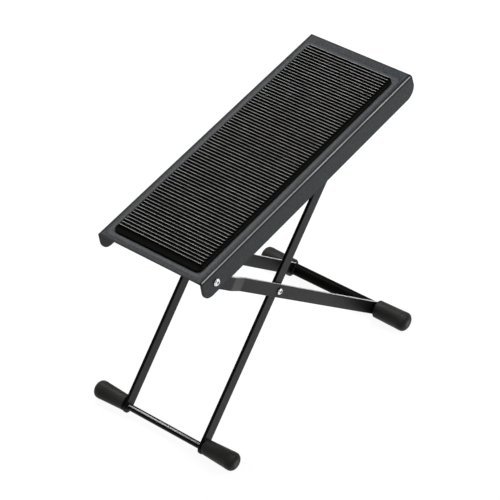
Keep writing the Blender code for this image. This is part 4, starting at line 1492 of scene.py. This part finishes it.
def make_world(stage):
    """A white horizon under a dim ceiling."""
    world = bpy.data.worlds.new("studio")
    bpy.context.scene.world = world
    world.use_nodes = True
    tree = world.node_tree
    place = tree.nodes.new("ShaderNodeTexCoord")
    apart = tree.nodes.new("ShaderNodeSeparateXYZ")
    tree.links.new(place.outputs["Generated"], apart.inputs["Vector"])
    ramp = tree.nodes.new("ShaderNodeValToRGB")
    ramp.color_ramp.interpolation = "EASE"
    first, last = ramp.color_ramp.elements
    first.position = stage.horizon_end
    first.color = (*[stage.sky_low] * 3, 1)
    last.position = stage.ceiling_start
    last.color = (*[stage.sky_high] * 3, 1)
    tree.links.new(apart.outputs["Z"], ramp.inputs["Fac"])
    tree.links.new(ramp.outputs["Color"], tree.nodes["Background"].inputs["Color"])


def add_lamp(name, place, target, size, watts):
    """A softbox that looks at a target and isn't seen itself."""
    light = bpy.data.lights.new(name, "AREA")
    light.shape = "RECTANGLE"
    light.size, light.size_y = size
    light.energy = watts
    lamp = bpy.data.objects.new(name, light)
    lamp.location = place
    aim = Vector(target) - Vector(place)
    lamp.rotation_euler = aim.to_track_quat("-Z", "Y").to_euler()
    lamp.visible_camera = False
    bpy.context.scene.collection.objects.link(lamp)


def add_camera(stage):
    """The camera at the photograph's viewpoint."""
    lens = bpy.data.cameras.new("camera")
    lens.lens = stage.camera_lens
    camera = bpy.data.objects.new("camera", lens)
    camera.location = stage.camera_place
    turn = (Matrix.Rotation(-stage.camera_yaw, 4, "Z")
            @ Matrix.Rotation(math.pi / 2 - stage.camera_pitch, 4, "X")
            @ Matrix.Rotation(stage.camera_roll, 4, "Z"))
    camera.rotation_euler = turn.to_euler()
    bpy.context.scene.collection.objects.link(camera)
    bpy.context.scene.camera = camera


# Panel and registration

SETTINGS = {
    "footrest_plate": FootrestPlateSizes,
    "footrest_mat": FootrestMatSizes,
    "footrest_legs": FootrestLegSizes,
    "footrest_caps": FootrestCapSizes,
    "footrest_rivets": FootrestRivetSizes,
    "footrest_finishes": FootrestFinishes,
    "footrest_stage": FootrestStage,
}
OPERATORS = (FOOTREST_OT_stage, FOOTREST_OT_foot_plate, FOOTREST_OT_rubber_mat,
             FOOTREST_OT_racks, FOOTREST_OT_rear_legs, FOOTREST_OT_front_legs,
             FOOTREST_OT_cross_members, FOOTREST_OT_foot_caps, FOOTREST_OT_rivets,
             FOOTREST_OT_welds)


class FOOTREST_PT_panel(Panel):
    """Sizes, finishes and building steps of the footrest"""
    bl_idname = "FOOTREST_PT_panel"
    bl_label = "Guitar footrest"
    bl_space_type = "VIEW_3D"
    bl_region_type = "UI"
    bl_category = "Footrest"

    def draw(self, context):
        for operator in OPERATORS:
            self.layout.operator(operator.bl_idname)
        for name, kind in SETTINGS.items():
            box = self.layout.box()
            box.label(text=kind.__doc__)
            group = getattr(context.scene, name)
            for field in kind.__annotations__:
                box.prop(group, field)


def register():
    """Register every class and hang the settings on the scene."""
    for kind in (*SETTINGS.values(), *OPERATORS, FOOTREST_PT_panel):
        bpy.utils.register_class(kind)
    for name, kind in SETTINGS.items():
        setattr(bpy.types.Scene, name, PointerProperty(type=kind))


def unregister():
    """Take the settings off the scene and unregister every class."""
    for name in SETTINGS:
        delattr(bpy.types.Scene, name)
    for kind in (FOOTREST_PT_panel, *reversed(OPERATORS), *reversed(SETTINGS.values())):
        bpy.utils.unregister_class(kind)


def main():
    """Register and build everything in order."""
    register()
    for operator in OPERATORS:
        group, name = operator.bl_idname.split(".")
        getattr(getattr(bpy.ops, group), name)()


if __name__ == "__main__":
    main()
